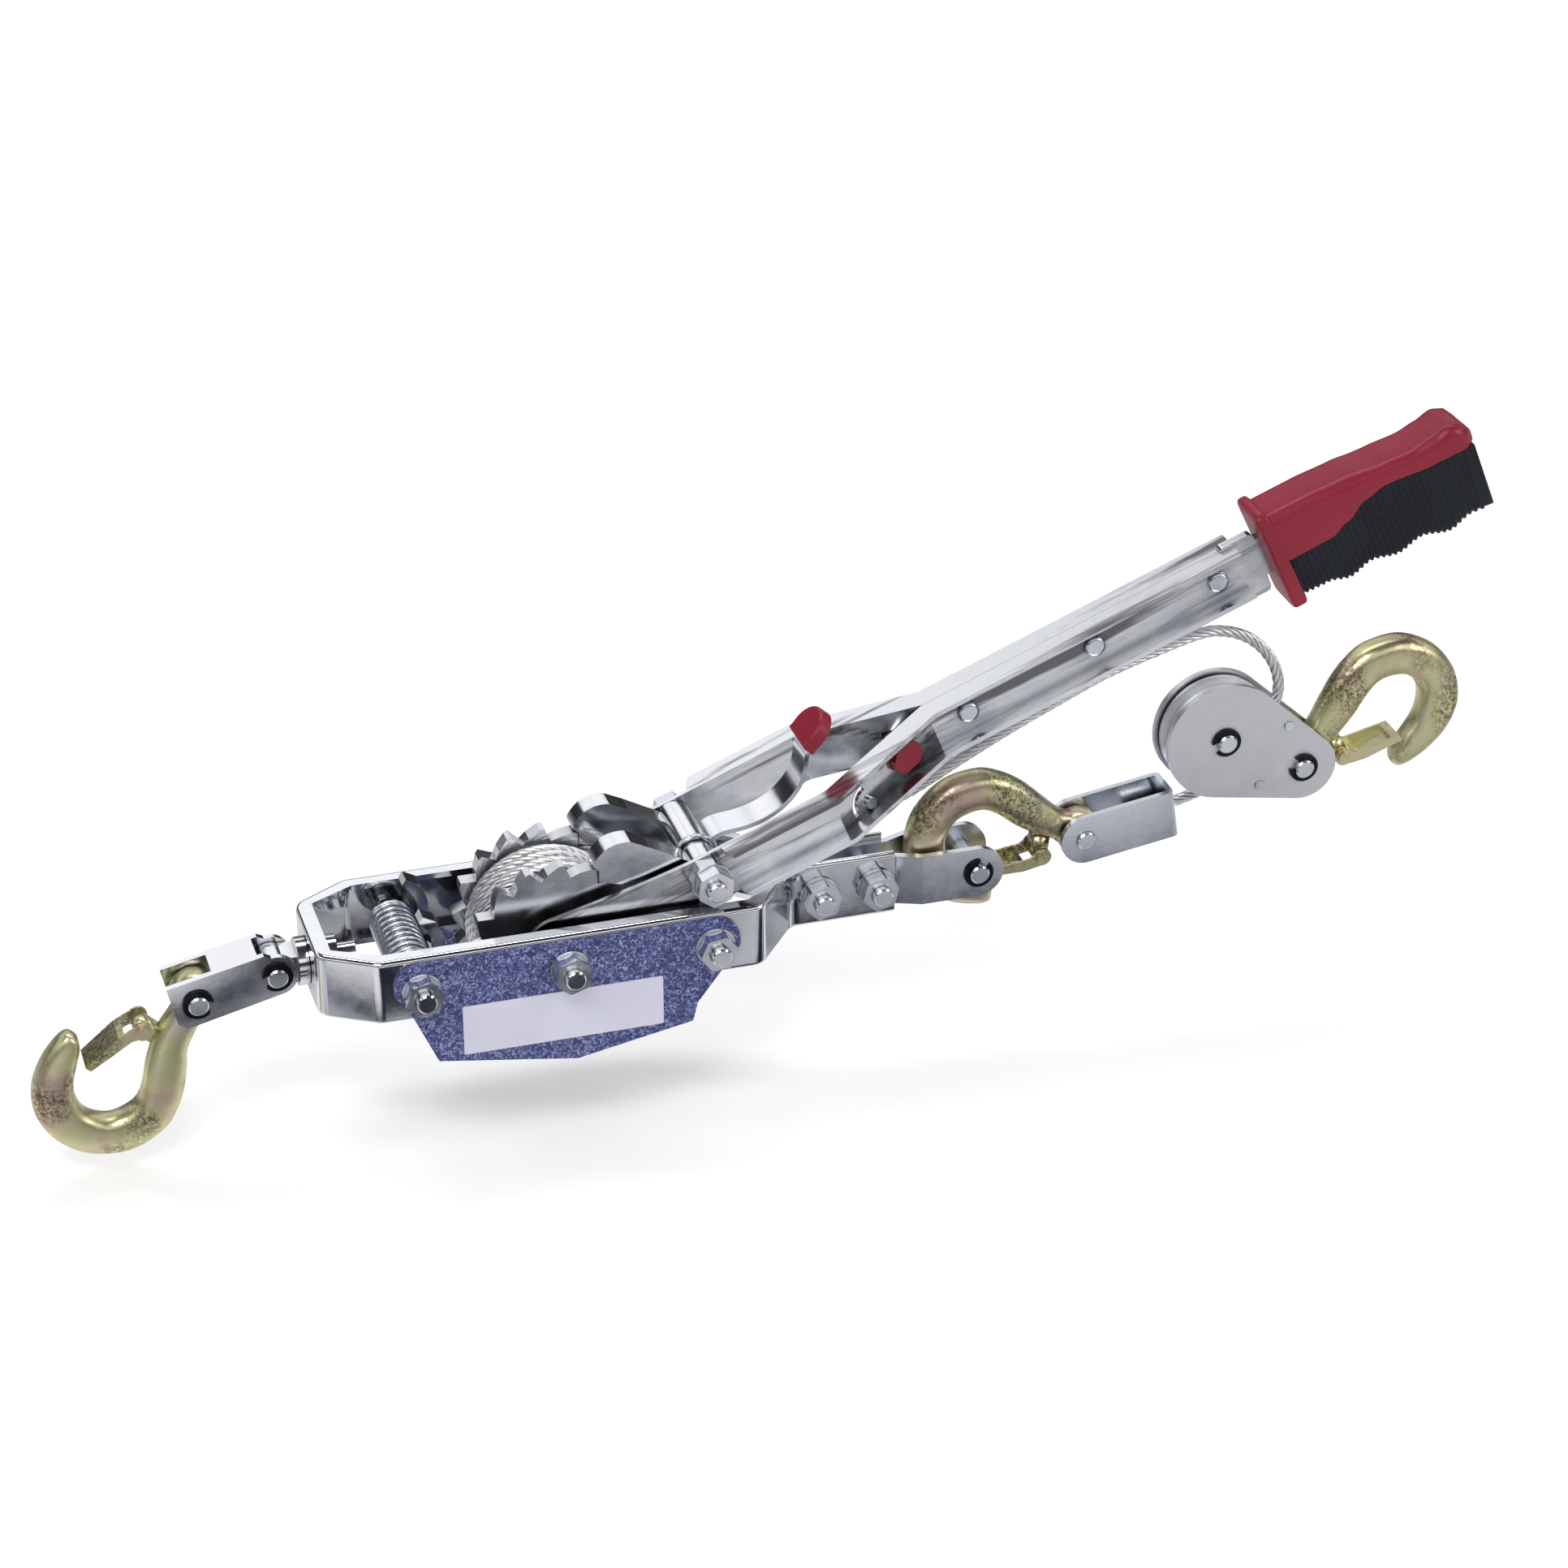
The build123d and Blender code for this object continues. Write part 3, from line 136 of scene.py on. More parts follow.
def smooth_path(points, per_span):
    """Catmull-Rom curve through points given as tuples of any length."""
    out = []
    last = len(points) - 1
    for i in range(last):
        near = (points[max(i - 1, 0)], points[i], points[i + 1], points[min(i + 2, last)])
        for k in range(per_span):
            t = k / per_span
            row = []
            for a, b, c, d in zip(*near):
                row.append(0.5 * (2 * b + (c - a) * t + (2 * a - 5 * b + 4 * c - d) * t * t
                                  + (3 * b - a - 3 * c + d) * t ** 3))
            out.append(tuple(row))
    out.append(tuple(points[last]))
    return out


def frames_along(path):
    """Parallel-transport frames (point, tangent, normal, binormal, length so far)."""
    points = [Vector(p) for p in path]
    tangents = []
    for i in range(len(points)):
        ahead = points[min(i + 1, len(points) - 1)]
        behind = points[max(i - 1, 0)]
        tangents.append((ahead - behind).normalized())
    seed = Vector((0, 1, 0)) if abs(tangents[0].y) < 0.9 else Vector((0, 0, 1))
    normal = (seed - tangents[0] * seed.dot(tangents[0])).normalized()
    rows = []
    run = 0.0
    for i, point in enumerate(points):
        if i:
            run += (point - points[i - 1]).length
            turn = tangents[i - 1].rotation_difference(tangents[i])
            normal = turn @ normal
            normal = (normal - tangents[i] * normal.dot(tangents[i])).normalized()
        rows.append((point, tangents[i], normal, tangents[i].cross(normal), run))
    return rows


def round_dir(k, count):
    """Unit vector k of count round the Y axis."""
    a = 2 * math.pi * k / count
    return Vector((math.cos(a), 0, math.sin(a)))


def squared(k, count, power):
    """Point k of count on a superellipse of half size 1: power 1 is round, less is squarer."""
    a = 2 * math.pi * k / count
    return tuple(math.copysign(abs(v) ** power, v) for v in (math.cos(a), math.sin(a)))


def tube(path, radius, sides=8):
    """Round tube along a path, closed at both ends."""
    rings = []
    for point, _, normal, binormal, _ in frames_along(path):
        ring = []
        for j in range(sides):
            a = 2 * math.pi * j / sides
            ring.append(point + normal * (radius * math.cos(a)) + binormal * (radius * math.sin(a)))
        rings.append(ring)
    return loft(rings)


STRAND_SHARE = 0.37     # strand radius as a share of the rope's
CORE_SHARE = 0.5


def rope(path, radius, lay, strands=6, sides=6):
    """Laid rope: strands twisted round the path with a core tube inside."""
    rows = frames_along(path)
    strand_r = radius * STRAND_SHARE
    ride_r = radius - strand_r
    parts = []
    for s in range(strands):
        turned = []
        for point, _, normal, binormal, run in rows:
            a = 2 * math.pi * (run / lay + s / strands)
            turned.append(point + normal * (ride_r * math.cos(a))
                          + binormal * (ride_r * math.sin(a)))
        parts.append(tube(turned, strand_r, sides))
    parts.append(tube(path, radius * CORE_SHARE, sides))
    return join_data(parts)


# ---------------------------------------------------------------- materials
# Sockets of a Mix node that mixes colours.
MIX_FACTOR, MIX_A, MIX_B, MIX_RESULT = 0, 6, 7, 2


class Nodes:
    """Small wrapper for building the nodes of a material or a world."""

    def __init__(self, owner, coord):
        owner.use_nodes = True
        self.nodes = owner.node_tree.nodes
        self.links = owner.node_tree.links
        self.coord = self.nodes.new("ShaderNodeTexCoord").outputs[coord]

    def link(self, out, into):
        self.links.new(out, into)

    def feed(self, value, socket):
        """Put a number, a colour or another node's output into a socket."""
        if isinstance(value, (float, int)):
            socket.default_value = value
        elif isinstance(value, tuple):
            socket.default_value = (*value, 1.0)
        else:
            self.link(value, socket)

    def noise(self, scale, detail=3.0, rough=0.5, stretch=None, distort=0.0, turn=0.0):
        """Noise, also squeezed along each axis and turned about Y."""
        node = self.nodes.new("ShaderNodeTexNoise")
        node.inputs["Scale"].default_value = scale
        node.inputs["Detail"].default_value = detail
        node.inputs["Roughness"].default_value = rough
        node.inputs["Distortion"].default_value = distort
        source = self.coord
        if stretch:
            mapping = self.nodes.new("ShaderNodeMapping")
            mapping.vector_type = "TEXTURE"
            mapping.inputs["Scale"].default_value = [1 / share for share in stretch]
            mapping.inputs["Rotation"].default_value = (0, turn, 0)
            self.link(self.coord, mapping.inputs["Vector"])
            source = mapping.outputs["Vector"]
        self.link(source, node.inputs["Vector"])
        return node.outputs["Fac"]

    def ramp(self, fac, stops):
        """Colours at (position, colour) stops."""
        node = self.nodes.new("ShaderNodeValToRGB")
        ramp = node.color_ramp
        while len(ramp.elements) < len(stops):
            ramp.elements.new(0.5)
        for element, (place, colour) in zip(ramp.elements, stops):
            element.position = place
            element.color = (*colour, 1.0)
        self.link(fac, node.inputs["Fac"])
        return node.outputs["Color"]

    def span(self, fac, low, high, a=0.3, b=0.7):
        """Carry the range a to b over to low to high."""
        node = self.nodes.new("ShaderNodeMapRange")
        node.inputs["From Min"].default_value = a
        node.inputs["From Max"].default_value = b
        node.inputs["To Min"].default_value = low
        node.inputs["To Max"].default_value = high
        self.link(fac, node.inputs["Value"])
        return node.outputs["Result"]

    def mix(self, fac, a, b, mode="MIX"):
        node = self.nodes.new("ShaderNodeMix")
        node.data_type = "RGBA"
        node.blend_type = mode
        for value, index in ((fac, MIX_FACTOR), (a, MIX_A), (b, MIX_B)):
            self.feed(value, node.inputs[index])
        return node.outputs[MIX_RESULT]

    def arith(self, operation, *values):
        node = self.nodes.new("ShaderNodeMath")
        node.operation = operation
        for value, socket in zip(values, node.inputs):
            self.feed(value, socket)
        return node.outputs[0]


class Tree(Nodes):
    """A material with one principled surface."""

    def __init__(self, name):
        self.mat = bpy.data.materials.new(name)
        super().__init__(self.mat, "Object")
        self.bsdf = self.nodes["Principled BSDF"]

    def bump(self, height, strength, distance):
        """Add relief, distance in metres, on top of any relief already there."""
        node = self.nodes.new("ShaderNodeBump")
        node.inputs["Strength"].default_value = strength
        node.inputs["Distance"].default_value = distance
        self.link(height, node.inputs["Height"])
        previous = self.bsdf.inputs["Normal"]
        if previous.is_linked:
            self.link(previous.links[0].from_socket, node.inputs["Normal"])
        self.link(node.outputs["Normal"], previous)

    def occlusion(self, distance, low):
        """A factor for painted shade: 1 in the open, falling to low where other surfaces are closer than distance.
        """
        node = self.nodes.new("ShaderNodeAmbientOcclusion")
        node.samples = 6
        node.inputs["Distance"].default_value = distance
        return self.span(node.outputs["AO"], low, 1.0, 0.0, 0.9)

    def finish(self, colour, rough, metallic=0.0, **extra):
        values = {"Base Color": colour, "Roughness": rough, "Metallic": metallic, **extra}
        for key, value in values.items():
            self.feed(value, self.bsdf.inputs[key])
        return self.mat


GRAIN_SCALE = 1400      # noise scales: cycles per metre, roughly
REFLECTION_STREAK_SCALE = 34
SPECK_SCALE = 420
WAVE_SCALE = 90


def metal(name, light, dark, rough, grain=0.12, spots=0.0, scale=60.0, dark_reflection_streak=None, turn=0.0,
          gap=0.006, painted_gap_shade=0.22):
    """Plated or bare steel: broad tone between light and dark, fine grain, painted shade in gaps.

    rough is a range of roughness and spots the strength of dull specks. A streak stretch paints dark
    reflection lines along a part turned by turn. Painted shade darkens the colour where other surfaces
    are closer than gap, and the last argument is what is left of the colour in a narrow gap.
    """
    tree = Tree(name)
    broad = tree.noise(scale, 4, 0.6)
    fine = tree.noise(GRAIN_SCALE, 2, 0.6, stretch=(0.25, 1.0, 1.0), turn=turn)
    colour = tree.ramp(broad, [(0.3, dark), (0.65, light)])
    # Painted reflection: near-black lines stretched along the part stand in for dark bands mirrored in the chrome.
    if dark_reflection_streak:
        reflection_lines = tree.noise(REFLECTION_STREAK_SCALE, 4, 0.62, stretch=dark_reflection_streak, turn=turn)
        colour = tree.mix(tree.span(reflection_lines, 0.0, 0.9, 0.52, 0.62), colour,
                          tuple(0.16 * c for c in dark))
    if spots:
        speck = tree.noise(SPECK_SCALE, 5, 0.75, distort=0.6)
        mask = tree.span(speck, 0.0, spots, 0.6, 0.72)
        colour = tree.mix(mask, colour, tuple(0.25 * c for c in dark))
    # Painted shade: the colour is darkened where other surfaces come close, in corners and gaps.
    shade = tree.occlusion(gap, painted_gap_shade)
    tint = tree.nodes.new("ShaderNodeCombineColor")
    for socket in tint.inputs:
        tree.link(shade, socket)
    colour = tree.mix(1.0, colour, tint.outputs[0], "MULTIPLY")
    tree.bump(fine, grain, 0.00012)
    tree.bump(tree.noise(WAVE_SCALE, 2, 0.5), 0.12, 0.0004)
    return tree.finish(colour, tree.span(broad, *rough), 1.0)


# Every metal gets painted shade in its gaps. The frame and arm chromes get deeper painted shade, and the arm
# chrome also gets painted dark reflection streaks.
CHROME = metal("chrome_plate_look", (0.93, 0.94, 0.96), (0.80, 0.82, 0.86), (0.09, 0.18), 0.06)
ARM_CHROME = metal("arm_chrome_look", (0.92, 0.93, 0.95), (0.76, 0.78, 0.82), (0.12, 0.24), 0.1,
                   dark_reflection_streak=(0.16, 2.0, 2.6), turn=-HANDLE_TURN, gap=0.014, painted_gap_shade=0.1)
ZINC = metal("zinc_plate_look", (0.82, 0.85, 0.90), (0.64, 0.68, 0.76), (0.17, 0.30), 0.15, 0.15)
HARDWARE = metal("zinc_hardware_look", (0.94, 0.95, 0.98), (0.74, 0.77, 0.83), (0.16, 0.28), 0.15,
                 0.1, gap=0.0016, painted_gap_shade=0.2)
SATIN = metal("satin_steel_look", (0.84, 0.85, 0.88), (0.74, 0.75, 0.79), (0.30, 0.44), 0.25, 0.15)
BLACK = metal("black_steel_look", (0.035, 0.035, 0.04), (0.015, 0.015, 0.018), (0.3, 0.45), 0.2)
ROPE = metal("wire_rope_look", (0.98, 0.98, 0.98), (0.76, 0.77, 0.78), (0.26, 0.42), 0.35, 0.25,
             200, gap=0.0014, painted_gap_shade=0.05)
FRAME_CHROME = metal("frame_chrome_look", (0.93, 0.94, 0.96), (0.80, 0.82, 0.86), (0.07, 0.16),
                     0.06, gap=0.032, painted_gap_shade=0.03)
TOOTHED = metal("toothed_steel_look", (0.88, 0.89, 0.92), (0.72, 0.74, 0.78), (0.16, 0.28), 0.2)


DIRT_MOST = 0.85


def gold_zinc():
    """Yellow passivated zinc: drifting tint with patches of dark grit."""
    tree = Tree("gold_zinc_look")
    tint = tree.noise(26, 3, 0.55, distort=0.4)
    colour = tree.ramp(tint, [
        (0.30, (0.66, 0.50, 0.40)), (0.43, (0.78, 0.69, 0.44)), (0.55, (0.72, 0.72, 0.40)),
        (0.68, (0.76, 0.67, 0.55)),
    ])
    patch = tree.noise(34, 2, 0.5)
    grit = tree.noise(520, 5, 0.8)
    patch_mask = tree.span(patch, 0.0, 1.0, 0.44, 0.62)
    grit_mask = tree.span(grit, 0.0, 1.0, 0.44, 0.56)
    dirt = tree.arith("MULTIPLY", tree.arith("MULTIPLY", patch_mask, grit_mask), DIRT_MOST)
    colour = tree.mix(dirt, colour, (0.10, 0.075, 0.04))
    rough = tree.span(grit, 0.26, 0.42)
    tree.bump(grit, 0.35, 0.00025)
    tree.bump(tree.noise(120, 3, 0.6), 0.35, 0.0006)
    return tree.finish(colour, rough, 1.0)


def hammertone():
    """Blue paint with pale wormy flecks."""
    tree = Tree("blue_hammertone_look")
    cells = tree.noise(470, 2.5, 0.55, distort=1.4)
    colour = tree.ramp(cells, [(0.38, (0.028, 0.033, 0.12)), (0.52, (0.07, 0.08, 0.24)),
                               (0.64, (0.28, 0.31, 0.52))])
    tree.bump(cells, 0.5, 0.0003)
    rough = tree.span(cells, 0.32, 0.5)
    return tree.finish(colour, rough, 0.15, **{"Coat Weight": 0.25, "Coat Roughness": 0.2})


def plastic(name, colour, dark, rough, shine=0.4):
    """Moulded plastic or rubber: fine pitting over a slow change of shade."""
    tree = Tree(name)
    fine = tree.noise(900, 3, 0.6)
    broad = tree.noise(30, 2, 0.5)
    shade = tree.ramp(broad, [(0.3, dark), (0.7, colour)])
    tree.bump(fine, 0.12, 0.0002)
    return tree.finish(shade, tree.span(fine, rough - 0.06, rough + 0.08),
                       0.0, **{"Specular IOR Level": shine})


GOLD = gold_zinc()
BLUE = hammertone()
RED = plastic("red_plastic_look", (0.25, 0.008, 0.028), (0.20, 0.006, 0.020), 0.36)
RUBBER = plastic("dark_rubber_look", (0.010, 0.013, 0.022), (0.005, 0.007, 0.013), 0.5, 0.3)
LABEL = plastic("blank_label_look", (0.60, 0.60, 0.70), (0.54, 0.54, 0.64), 0.45)

LOOKS = {
    "chrome_plate": CHROME, "zinc_plate": ZINC, "satin_steel": SATIN, "gold_zinc": GOLD,
    "blue_paint": BLUE, "blank_label": LABEL, "black_steel": BLACK, "red_plastic": RED,
    "dark_rubber": RUBBER, "wire_rope": ROPE,
}
SLOT_OF = {row["node"]: row["material_slot"] for row in frame["record"]["subparts"]}


def stand_in(obj, node, body, slot_name):
    """Dress a visual piece and let it take a CAD node's place on the same body."""
    obj.data.materials.append(LOOKS[slot_name])
    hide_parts(node)
    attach(obj, body)


def dress_node(obj, look):
    for slot in obj.material_slots:
        slot.material = look


# ---------------------------------------------------------------- CAD parts: looks and edges
# Edge rounding in millimetres.
BEVELS = {
    "frame": 1.1, "handle_arm_near": 0.8, "handle_arm_far": 0.8, "end_clevis": 0.9,
    "guard_near": 0.5, "guard_far": 0.5, "drive_pawl": 1.2, "hold_pawl": 0.8,
    "wheel_near": 0.55, "wheel_far": 0.55, "bracket_straps": 0.9, "mid_clevis": 0.9,
    "pulley_cheeks": 0.7, "sheave": 0.4, "frame_nuts": 0.35, "washers": 0.3,
    "selector_caps": 1.0, "lever_cap": 1.2, "pawl_lever": 0.7, "swivel_stud": 0.8,
    "cable_ferrule": 0.5, "end_latch": 0.4, "mid_latch": 0.4, "pulley_latch": 0.4,
}
DEFAULT_BEVEL = 0.3
BEVEL_FROM = rad(32)
SPECIAL = {
    "wheel_near": TOOTHED, "wheel_far": TOOTHED, "frame": FRAME_CHROME,
    "handle_arm_near": ARM_CHROME, "handle_arm_far": ARM_CHROME,
    "frame_nuts": HARDWARE, "washers": HARDWARE, "pawl_bolt_nuts": HARDWARE,
    "neck_bolts": HARDWARE, "pawl_bolt": HARDWARE,
}
for node_name, obj in NODES.items():
    dress_node(obj, SPECIAL.get(node_name, LOOKS[SLOT_OF[node_name]]))
    bevel = obj.modifiers.new("edge", "BEVEL")
    bevel.width = BEVELS.get(node_name, DEFAULT_BEVEL) * MM
    bevel.segments = 3
    bevel.limit_method = "ANGLE"
    bevel.angle_limit = BEVEL_FROM
    bevel.harden_normals = True


# ---------------------------------------------------------------- forged hooks
def hook_stations(length):
    """Inner edge point, outer edge point and half thickness from eye to tip, in millimetres.

    The bowl's centre is at 0, 0 and the eye is at length along the first axis.
    """
    return [
        (length - 6, -7, length - 4, 10.6, 6.6), (length - 12, -4.2, length - 11, 12.4, 6.7),
        (40.5, -2.4, 39, 17.0, 7.0), (31.5, 0.8, 31.5, 22.8, 7.6), (20, 6.4, 22, 29.6, 8.2),
        (9.9, 13.0, 11, 34.7, 8.6), (0, 16.2, -2, 36.8, 8.8), (-11.1, 11.9, -20, 31.0, 8.8),
        (-15.6, 4.4, -33.2, 15.4, 8.8), (-16.0, -3.2, -36.7, -3, 8.7),
        (-12.3, -10.9, -32.0, -19.5, 8.4), (-6.5, -16.7, -21.5, -30.4, 8.0),
        (1.2, -21.2, -8, -36.2, 7.4), (8.0, -25.2, 4.5, -37.9, 6.7),
        (11.4, -28.6, 10.8, -37.0, 5.2), (13.0, -31.0, 12.8, -35.0, 2.2),
    ]


HOOK_SIDES = 28
HOOK_SQUARENESS = 0.72
STEPS_PER_STATION = 7
# Outlines of the eye ring and the latch's lug: (radius, place along Y), mm.
EYE_SECTION = ((5.3, -6.0), (6.0, -6.8), (7.2, -7.1), (9.4, -6.9), (11.0, -6.0), (11.9, -4.0),
               (12.2, 0), (11.9, 4.0), (11.0, 6.0), (9.4, 6.9), (7.2, 7.1), (6.0, 6.8), (5.3, 6.0),
               (5.1, 0))
EYE_TURNS = 48
LUG_SECTION = ((3.4, -4.8), (4.2, -4.4), (4.2, 4.4), (3.4, 4.8))
LUG_SIDES = 24
LUG_ARM_LENGTH = 9.0
LUG_ARM_CORNERS = ((-4, -4.6), (4, -4.6), (4, 4.6), (-4, 4.6))


def forged_hook(name, node, eye, bowl_dir, back_sign, length, body, rivet_node):
    """Loft the hook between its edges, with a turned eye and a lug for the latch's rivet."""
    u = Vector((math.cos(rad(bowl_dir)), 0, math.sin(rad(bowl_dir))))
    v = Vector((-u.z, 0, u.x)) * back_sign
    origin = Vector((eye.x, 0, eye.z)) - u * (length * MM)
    rings = []
    for iu, iv, ou, ov, half in smooth_path(hook_stations(length), STEPS_PER_STATION):
        mid_u, mid_v = (iu + ou) / 2, (iv + ov) / 2
        du, dv = (ou - iu) / 2, (ov - iv) / 2
        ring = []
        for k in range(HOOK_SIDES):
            across, lift = squared(k, HOOK_SIDES, HOOK_SQUARENESS)
            point = origin + u * ((mid_u + du * across) * MM) + v * ((mid_v + dv * across) * MM)
            ring.append(point + Vector((0, half * lift * MM, 0)))
        rings.append(ring)
    centre = Vector((eye.x, 0, eye.z))
    eye_rings = []
    for k in range(EYE_TURNS):
        out = round_dir(k, EYE_TURNS)
        eye_rings.append([centre + out * (r * MM) + Vector((0, y * MM, 0))
                          for r, y in EYE_SECTION])
    lug_centre = middle(rivet_node)
    lug_rings = []
    for r, y in LUG_SECTION:
        base = Vector((lug_centre.x, y * MM, lug_centre.z))
        lug_rings.append([base + round_dir(k, LUG_SIDES) * (r * MM) for k in range(LUG_SIDES)])
    arm_rings = []
    for reach in (0.0, LUG_ARM_LENGTH):
        base = Vector((lug_centre.x, 0, lug_centre.z)) + v * (reach * MM)
        arm_rings.append([base + u * (a * MM) + Vector((0, b * MM, 0))
                          for a, b in LUG_ARM_CORNERS])
    shells = [loft(rings), loft(eye_rings, closed=True), loft(lug_rings), loft(arm_rings)]
    stand_in(mesh_object(name, *join_data(shells)), node, body, "gold_zinc")


# Name, joint at the eye, bowl direction (deg), side of the back, eye to bowl (mm), body.
HOOKS = (
    ("end", "anchor_hook_swing", 45.2, -1, 63.5, "anchor_hook"),
    ("mid", "rope_hook_play", -6.0, 1, 56.7, "rope_hook"),
    ("pulley", "block_hook_swing", -153.4, -1, 57.0, "block_hook"),
)
for label, joint_name, bowl_dir, back_sign, length, body in HOOKS:
    forged_hook(f"{label}_hook_forged", f"{label}_hook", pivot(joint_name), bowl_dir, back_sign,
                length, body, f"{label}_latch_rivet")


# ---------------------------------------------------------------- wire rope
ROPE_R = 3.0 * MM
LAY = 30 * MM               # length of one full twist of the strands
STEPS_PER_TURN = 72
LAYERS = 3
LAYER_STEP = 2 * ROPE_R * 0.92      # each layer sinks a little into the one below
TURN_STEP = 2 * ROPE_R * 1.01
FIRST_LAYER_AT = 50         # degrees
NEXT_LAYER_AT = 130
coil_low, coil_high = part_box("cable_coil")
coil_r = (coil_high[2] - coil_low[2]) / 2
coil_span = coil_high[1] - coil_low[1] - 2 * ROPE_R
coil_steps = int(coil_span / TURN_STEP * STEPS_PER_TURN)
layer_parts = []
for layer in range(LAYERS):
    wind_r = coil_r - ROPE_R - layer * LAYER_STEP
    path = []
    for i in range(coil_steps + 1):
        share = i / coil_steps
        if layer % 2:
            share = 1 - share
        a = rad(FIRST_LAYER_AT + NEXT_LAYER_AT * layer) + 2 * math.pi * i / STEPS_PER_TURN
        path.append((wind_r * math.cos(a), coil_low[1] + ROPE_R + coil_span * share,
                     wind_r * math.sin(a)))
    layer_parts.append(rope(path, ROPE_R, LAY))
stand_in(mesh_object("cable_coil_laid", *join_data(layer_parts)), "cable_coil", "drum", "wire_rope")

FORK_TILT = rad(9)
FORK_REACH = 49.9 * MM      # from the fork's pin to where the rope leaves the fork
LEAD_OUT = (14 * MM, 3.6 * MM)
GROOVE_R = 26.75 * MM       # rope's centreline round the sheave
WRAP = range(-74, 6, 8)     # degrees round the sheave
# From the sheave back over the top and down to the drum: (x, z), mm.
RETURN = ((381.2, 61), (384.0, 68.5), (384.0, 77), (380.6, 87), (374, 96.5), (365, 104),
          (354, 108.6), (341, 109.6), (318, 103.6), (290, 94.6), (264, 82.9), (238, 70.6),
          (213, 57.6), (188, 44.2), (158, 31.6), (128, 21.4), (100, 16.6), (75, 15.4),
          (55, 16.6), (44, 20.2), (34, 27.4), (26, 35.4))
sheave = pivot("sheave_spin")
fork_pin = pivot("rope_hook_play")
start_x = fork_pin.x + FORK_REACH * math.cos(FORK_TILT)
start_z = fork_pin.z + FORK_REACH * math.sin(FORK_TILT)
route = [(start_x, 0, start_z), (start_x + LEAD_OUT[0], 0, start_z + LEAD_OUT[1])]
for angle in WRAP:
    route.append((sheave.x + GROOVE_R * math.cos(rad(angle)), 0,
                  sheave.z + GROOVE_R * math.sin(rad(angle))))
for x, z in RETURN:
    route.append((x * MM, 0, z * MM))
run_shell = rope(smooth_path(route, 9), ROPE_R, LAY, sides=8)
stand_in(mesh_object("cable_run_laid", *run_shell), "cable_run", "frame_body", "wire_rope")


# ---------------------------------------------------------------- coil springs
SPRING_STEPS = 30
SPRING_SIDES = 10


def spring_path(centre, radius, low, high, open_turns, closed_turns, wire):
    """Compression spring along Y: close-wound ends and an open middle."""
    total_turns = open_turns + 2 * closed_turns
    open_pitch = (high - low - 2 * closed_turns * wire) / open_turns
    y = low
    path = []
    for i in range(int(total_turns * SPRING_STEPS) + 1):
        turn = i / SPRING_STEPS
        a = 2 * math.pi * turn
        path.append((centre.x + radius * math.cos(a), y, centre.z + radius * math.sin(a)))
        closed = turn < closed_turns or turn > total_turns - closed_turns
        y += (wire if closed else open_pitch) / SPRING_STEPS
    return path


def spring_object(name, node, open_turns, closed_turns, wire, body):
    """A real coil that fills the box of the CAD's plain tube."""
    low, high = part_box(node)
    outer = (high[0] - low[0]) / 2
    path = spring_path(middle(node), outer - wire / 2, low[1] + wire / 2, high[1] - wire / 2,
                       open_turns, closed_turns, wire)
    stand_in(mesh_object(name, *tube(path, wire / 2, SPRING_SIDES)), node, body, "zinc_plate")


spring_object("hold_pawl_spring_coil", "hold_pawl_spring", 9, 2, 2.1 * MM, "frame_body")
spring_object("drive_pawl_spring_coil", "drive_pawl_spring", 1, 0.5, 1.6 * MM, "drive_pawl_body")


# ---------------------------------------------------------------- grip
# The grip is drawn in millimetres: s along the handle from the drum axle, t square to it.
S_DIR = Vector((math.cos(HANDLE_TURN), 0, math.sin(HANDLE_TURN)))
T_DIR = Vector((-math.sin(HANDLE_TURN), 0, math.cos(HANDLE_TURN)))


def handle_point(s, t, y):
    """Point in metres from the grip's own millimetres."""
    return S_DIR * (s * MM) + T_DIR * (t * MM) + Vector((0, y * MM, 0))


def sample(table, s):
    """Value at s from (s, value) pairs, eased between them."""
    for (s0, v0), (s1, v1) in zip(table, table[1:]):
        if s <= s1:
            k = (s - s0) / (s1 - s0)
            k = k * k * (3 - 2 * k)
            return v0 + (v1 - v0) * max(0.0, k)
    return table[-1][1]


# Upper edge, lower edge and the line where the shell meets the rubber.
TOP = ((408, 24.2), (430, 24.2), (449, 23.2), (470, 20.6), (487, 19.4), (498, 20.9), (507, 22.7),
       (513, 20.8), (517, 15.6), (519, 9.5))
BOTTOM = ((408, -27.6), (424, -28.2), (436, -31.6), (448, -28.6), (463, -32.3), (476, -29.6),
          (492, -34.4), (504, -31.2), (516, -32.6))
SPLIT = ((408, -3.4), (432, -3.1), (443, 1.2), (455, 7.6), (466, 9.9), (494, 7.4), (518, 6.9))
GRIP_HALF = 14.4
CORNER_STEPS = 7


def rounded_ring(s, top, bottom, half, radius_top, radius_bottom, lean=None):
    """Rounded rectangle across the grip at station s; lean shifts each height along it."""
    points = []
    corners = (
        (half - radius_bottom, bottom + radius_bottom, -90, radius_bottom),
        (half - radius_top, top - radius_top, 0, radius_top),
        (-half + radius_top, top - radius_top, 90, radius_top),
        (-half + radius_bottom, bottom + radius_bottom, 180, radius_bottom),
    )
    for cy, ct, first, radius in corners:
        for k in range(CORNER_STEPS + 1):
            a = rad(first + 90 * k / CORNER_STEPS)
            t = ct + radius * math.sin(a)
            shift = lean(s, t) if lean else 0.0
            points.append(handle_point(s + shift, t, cy + radius * math.cos(a)))
    return points


